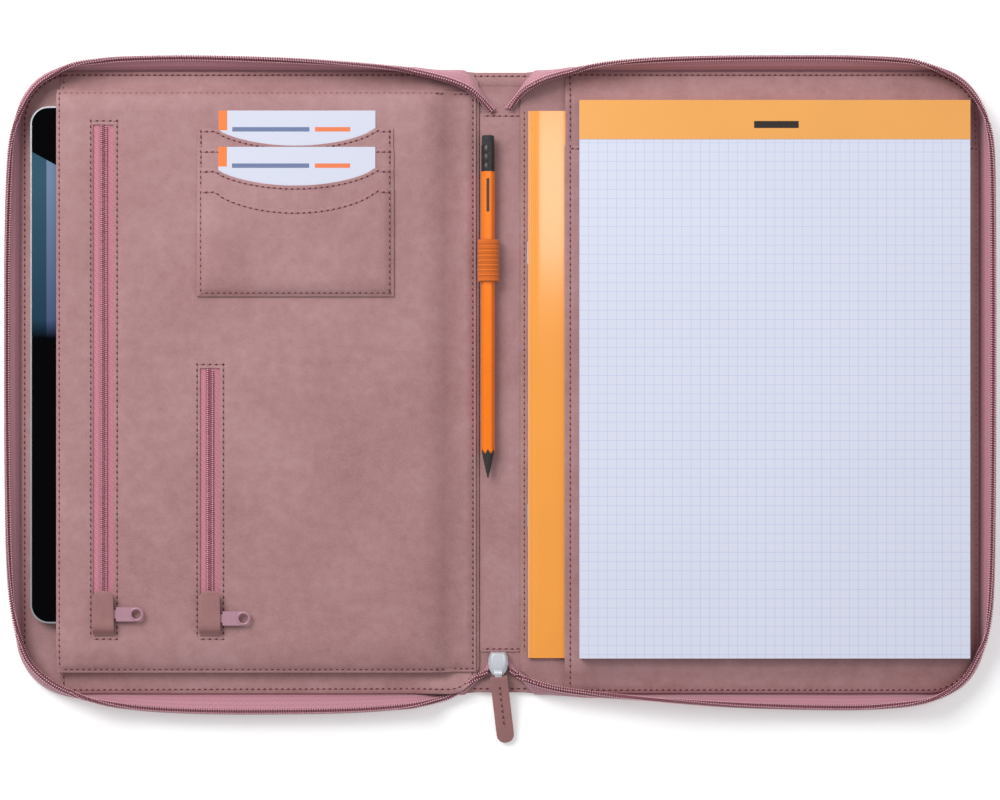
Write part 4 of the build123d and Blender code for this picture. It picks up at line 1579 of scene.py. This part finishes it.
class CASE_OT_main_slider(bpy.types.Operator):
    """Shape the faceted slider of the long zip and its leather strap"""

    bl_idname = "case.main_slider"
    bl_label = "Main slider"

    def execute(self, context):
        deselect()
        bpy.ops.mesh.primitive_cylinder_add(
            vertices=10, radius=5.7 * MM, depth=3.2 * MM, location=(SLIDER[0] * MM, SLIDER[1] * MM, 6.0 * MM),
            rotation=(0, 0, 0.314))
        slider = named("main_slider_faceted")
        freeze()

        outline = ((4.0, 6.4), (5.2, 3.4), (5.5, 0.6), (4.7, -3.0), (2.7, -6.1))
        outline += tuple((-x, y) for x, y in reversed(outline))

        def shield(x, y, z):
            turn = round(atan2(x - SLIDER[0], y - SLIDER[1]) / (2 * pi) * 10 - 0.5) % 10
            px, py = outline[turn]
            return px + SLIDER[0], py + SLIDER[1], z

        move_points(slider, shield)
        edit()
        pick(slider, slider.data.polygons, lambda p: p.z > 7.0 and abs(p.x + 1) < 0.8 and abs(p.y + 152) < 2)
        bpy.ops.mesh.inset(thickness=1.35 * MM)
        bpy.ops.transform.translate(value=(0, 0.0009, 1.5 * MM))
        bpy.ops.mesh.inset(thickness=1.3 * MM)
        bpy.ops.transform.translate(value=(0, 0.0009, 0.55 * MM))
        object_mode()
        modify(slider, "BEVEL", width=0.12 * MM, segments=1, limit_method="ANGLE", angle_limit=radians(12))
        soften(slider, 12)
        fit(slider, "slider_metal", "spine", "main_zip_slider", finish=polished_metal())
        dress(polished_metal(), "slider_metal", "main_pull_link")

        way = Vector((4.4, -38.4, -7.8)).normalized()
        up = Vector((1, 0, 0)).cross(way).normalized() * -1
        aside = way.cross(up).normalized()
        rows = (("x", 0.0, -31.0, -8.0),)

        def under(x, y):
            return -1.25 + 0.36 * sin(pi * min(1.0, max(0.0, (-y - 4) / 35)))

        strap = leather_piece(
            "main_pull_leather", (-4.7, 4.7, -39.0, -1.9), under, thickness=2.3, rows=rows,
            corners=((1, -1, 4.4), (-1, -1, 4.4)), pitch=2.0)
        stitches = sew("main_pull_stitching", row_lines(rows), lambda x, y: under(x, y) + 2.32)
        pivot = Vector((-1.0, -157.0, 9.4))
        for piece, material in ((strap, flap_leather()), (stitches, None)):
            move_points(piece, lambda x, y, z: pivot + way * -y - aside * x + up * z)
            if material:
                paint(piece, material)
            recalculate(piece)
            fit(piece, "leather_dark", "main_pull")
        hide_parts("main_pull_strap")
        return {"FINISHED"}


class CASE_OT_pencil(bpy.types.Operator):
    """Finish the pencil and knit the ribbed loop that holds it"""

    bl_idname = "case.pencil"
    bl_label = "Pencil and loop"

    def execute(self, context):
        dress(pencil_lacquer(), "pencil_paint", "pencil_body")
        dress(graphite(), "graphite", "pencil_lead")
        dress(ferrule_black(), "pencil_black", "pencil_ferrule")
        dress(eraser_rubber(), "eraser", "pencil_eraser")

        low, high = LOOP
        deselect()
        bpy.ops.mesh.primitive_cylinder_add(
            vertices=40, radius=1 * MM, depth=(high - low) * MM, end_fill_type="NOTHING",
            location=(0, (low + high) / 2 * MM, 0), rotation=(pi / 2, 0, 0))
        loop = named("pen_loop_elastic")
        freeze()
        edit("SELECT")
        count = LOOP_RIBS * 4
        cut_across((0, 1, 0), [low + (high - low) * i / count for i in range(1, count)])
        object_mode()

        def ribbed(x, y, z):
            rib = 0.16 * cos((y - low) / (high - low) * LOOP_RIBS * 2 * pi)
            angle = atan2(z, x)
            reach_x, reach_z = 5.15 - rib, 4.35 - rib
            flat = max(-4.9, reach_z * sin(angle))
            return -6.25 + reach_x * cos(angle), y, 8.6 + flat

        move_points(loop, ribbed)
        modify(loop, "SOLIDIFY", thickness=0.6 * MM, offset=1)
        recalculate(loop)
        soften(loop, 60)
        fit(loop, "elastic", "spine", "pen_loop", finish=ribbed_elastic())
        return {"FINISHED"}


class CASE_OT_booklet(bpy.types.Operator):
    """Fold the booklet's glossy cover round its pages"""

    bl_idname = "case.booklet"
    bl_label = "Booklet"

    def execute(self, context):
        left, right, bottom, top = BOOKLET
        low, high = BOOKLET_Z
        section = [(right - i * 8.0, low) for i in range(26)] + [(21.0, low), (18.0, low)]
        section += [(left + 1.05 - 0.95 * sin(radians(a)), (low + high) / 2 - (high - low) / 2 * cos(radians(a)))
                    for a in range(0, 181, 20)]
        section += [(17.2, high + 0.02), (17.6, high - 0.12), (18.0, high + 0.04), (19.5, high + 0.16)]
        section += [(21.5 + i * 2.0, high + 0.18) for i in range(8)]
        section += [(40.0 + i * 8.0, high) for i in range(23)] + [(right, high)]

        def where(u, v):
            x, z = section[round(u * (len(section) - 1))]
            return x, bottom + v * (top - bottom), z

        cover = grid_sheet("booklet_cover_folded", len(section) - 1, 36, where, 0.22)
        soften(cover, 50)
        fit(cover, "booklet_orange", "booklet", "booklet_cover", finish=booklet_card())
        dress(plain_paper(), "paper", "booklet_pages")
        dress(staple_wire(), "staple_wire", "booklet_staples")
        return {"FINISHED"}


class CASE_OT_writing_pad(bpy.types.Operator):
    """Cut the pad's panel and pocket, sew them, and finish the pad"""

    bl_idname = "case.writing_pad"
    bl_label = "Writing pad and its pocket"

    def execute(self, context):
        rows = (("x", 38.0, -166.0, 166.0),)
        panel = leather_piece(
            "pad_panel_leather", (35.4, 258.9, -168.0, 168.0), panel_under, rows=rows,
            corners=((1, 1, CORNER_R - 1.1), (1, -1, CORNER_R - 1.1)), marks_x=(254, 255.2, 256.4, 257.5),
            marks_y=(-163, -160, -157, -154, -151.5, -149, 149, 151.5, 154, 157, 160, 163))
        fit(panel, "leather", "right_cover", "right_pad_panel", finish=leather())

        hem = (("y", 126.2, 36.0, 258.0),)
        pocket = leather_piece(
            "pad_pocket_leather", (34.9, 258.9, -167.9, 128.0), pad_pocket_under,
            rows=(("x", 38.0, -166.0, 127.0),) + hem, corners=((1, -1, CORNER_R - 1.1),),
            marks_y=(-163, -160, -157, -154), marks_x=(36.2, 40.0, 254, 255.2, 256.4, 257.5))
        fit(pocket, "leather", "right_cover", "pad_pocket_front", finish=leather())

        def face(x, y):
            if x < 35:
                return TOP_Z - pinch(x, y)
            if y > 128:
                return panel_under(x, y) + 0.65
            return pad_pocket_under(x, y) + 0.62

        lines = [rounded_walk(1, SEAM_LINE, 21.0), [(38.0, -166), (38.0, 127.5)], [(38.0, 129.5), (38.0, 165)]]
        lines += row_lines(hem)
        fit(sew("right_edge_stitching", lines, face), "leather", 1)
        dress(squared_paper(), "paper", "pad_sheets")
        dress(header_card(), "pad_orange", "pad_header")
        dress(grey_board(), "grey_card", "pad_back_board")
        return {"FINISHED"}


class CASE_OT_boards_and_tablet(bpy.types.Operator):
    """Finish the stiffening boards and the tablet"""

    bl_idname = "case.boards_and_tablet"
    bl_label = "Boards and tablet"

    def execute(self, context):
        dress(grey_board(), "board", "left_board", "right_board", "spine_board")
        dress(tablet_case_metal(), "tablet_metal", "tablet_body")
        dress(screen_glass(), "tablet_glass", "tablet_glass")
        return {"FINISHED"}


class CASE_PT_panel(bpy.types.Panel):
    bl_label = "Portfolio case"
    bl_idname = "CASE_PT_panel"
    bl_space_type = "VIEW_3D"
    bl_region_type = "UI"
    bl_category = "Portfolio"

    def draw(self, context):
        layout = self.layout
        for step in STEPS:
            layout.operator(step.bl_idname)
        for group in (context.scene.case_sizes, context.scene.case_colours):
            box = layout.box()
            for key in group.__annotations__:
                box.prop(group, key)


STEPS = (
    CASE_OT_stage,
    CASE_OT_outer_leather,
    CASE_OT_linings,
    CASE_OT_boards_and_tablet,
    CASE_OT_tablet_pocket,
    CASE_OT_zip_pouch,
    CASE_OT_pouch_zips,
    CASE_OT_card_slots,
    CASE_OT_writing_pad,
    CASE_OT_booklet,
    CASE_OT_pencil,
    CASE_OT_long_zip,
    CASE_OT_main_slider,
)
CLASSES = (CaseSizes, CaseColours, *STEPS, CASE_PT_panel)


def register():
    for cls in CLASSES:
        bpy.utils.register_class(cls)
    bpy.types.Scene.case_sizes = bpy.props.PointerProperty(type=CaseSizes)
    bpy.types.Scene.case_colours = bpy.props.PointerProperty(type=CaseColours)


def unregister():
    del bpy.types.Scene.case_colours
    del bpy.types.Scene.case_sizes
    for cls in reversed(CLASSES):
        bpy.utils.unregister_class(cls)


def main():
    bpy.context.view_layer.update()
    register()
    for step in STEPS:
        area, name = step.bl_idname.split(".")
        getattr(getattr(bpy.ops, area), name)()
    for unit in UNITS.values():
        bpy.data.objects.remove(unit)


if __name__ == "__main__":
    main()
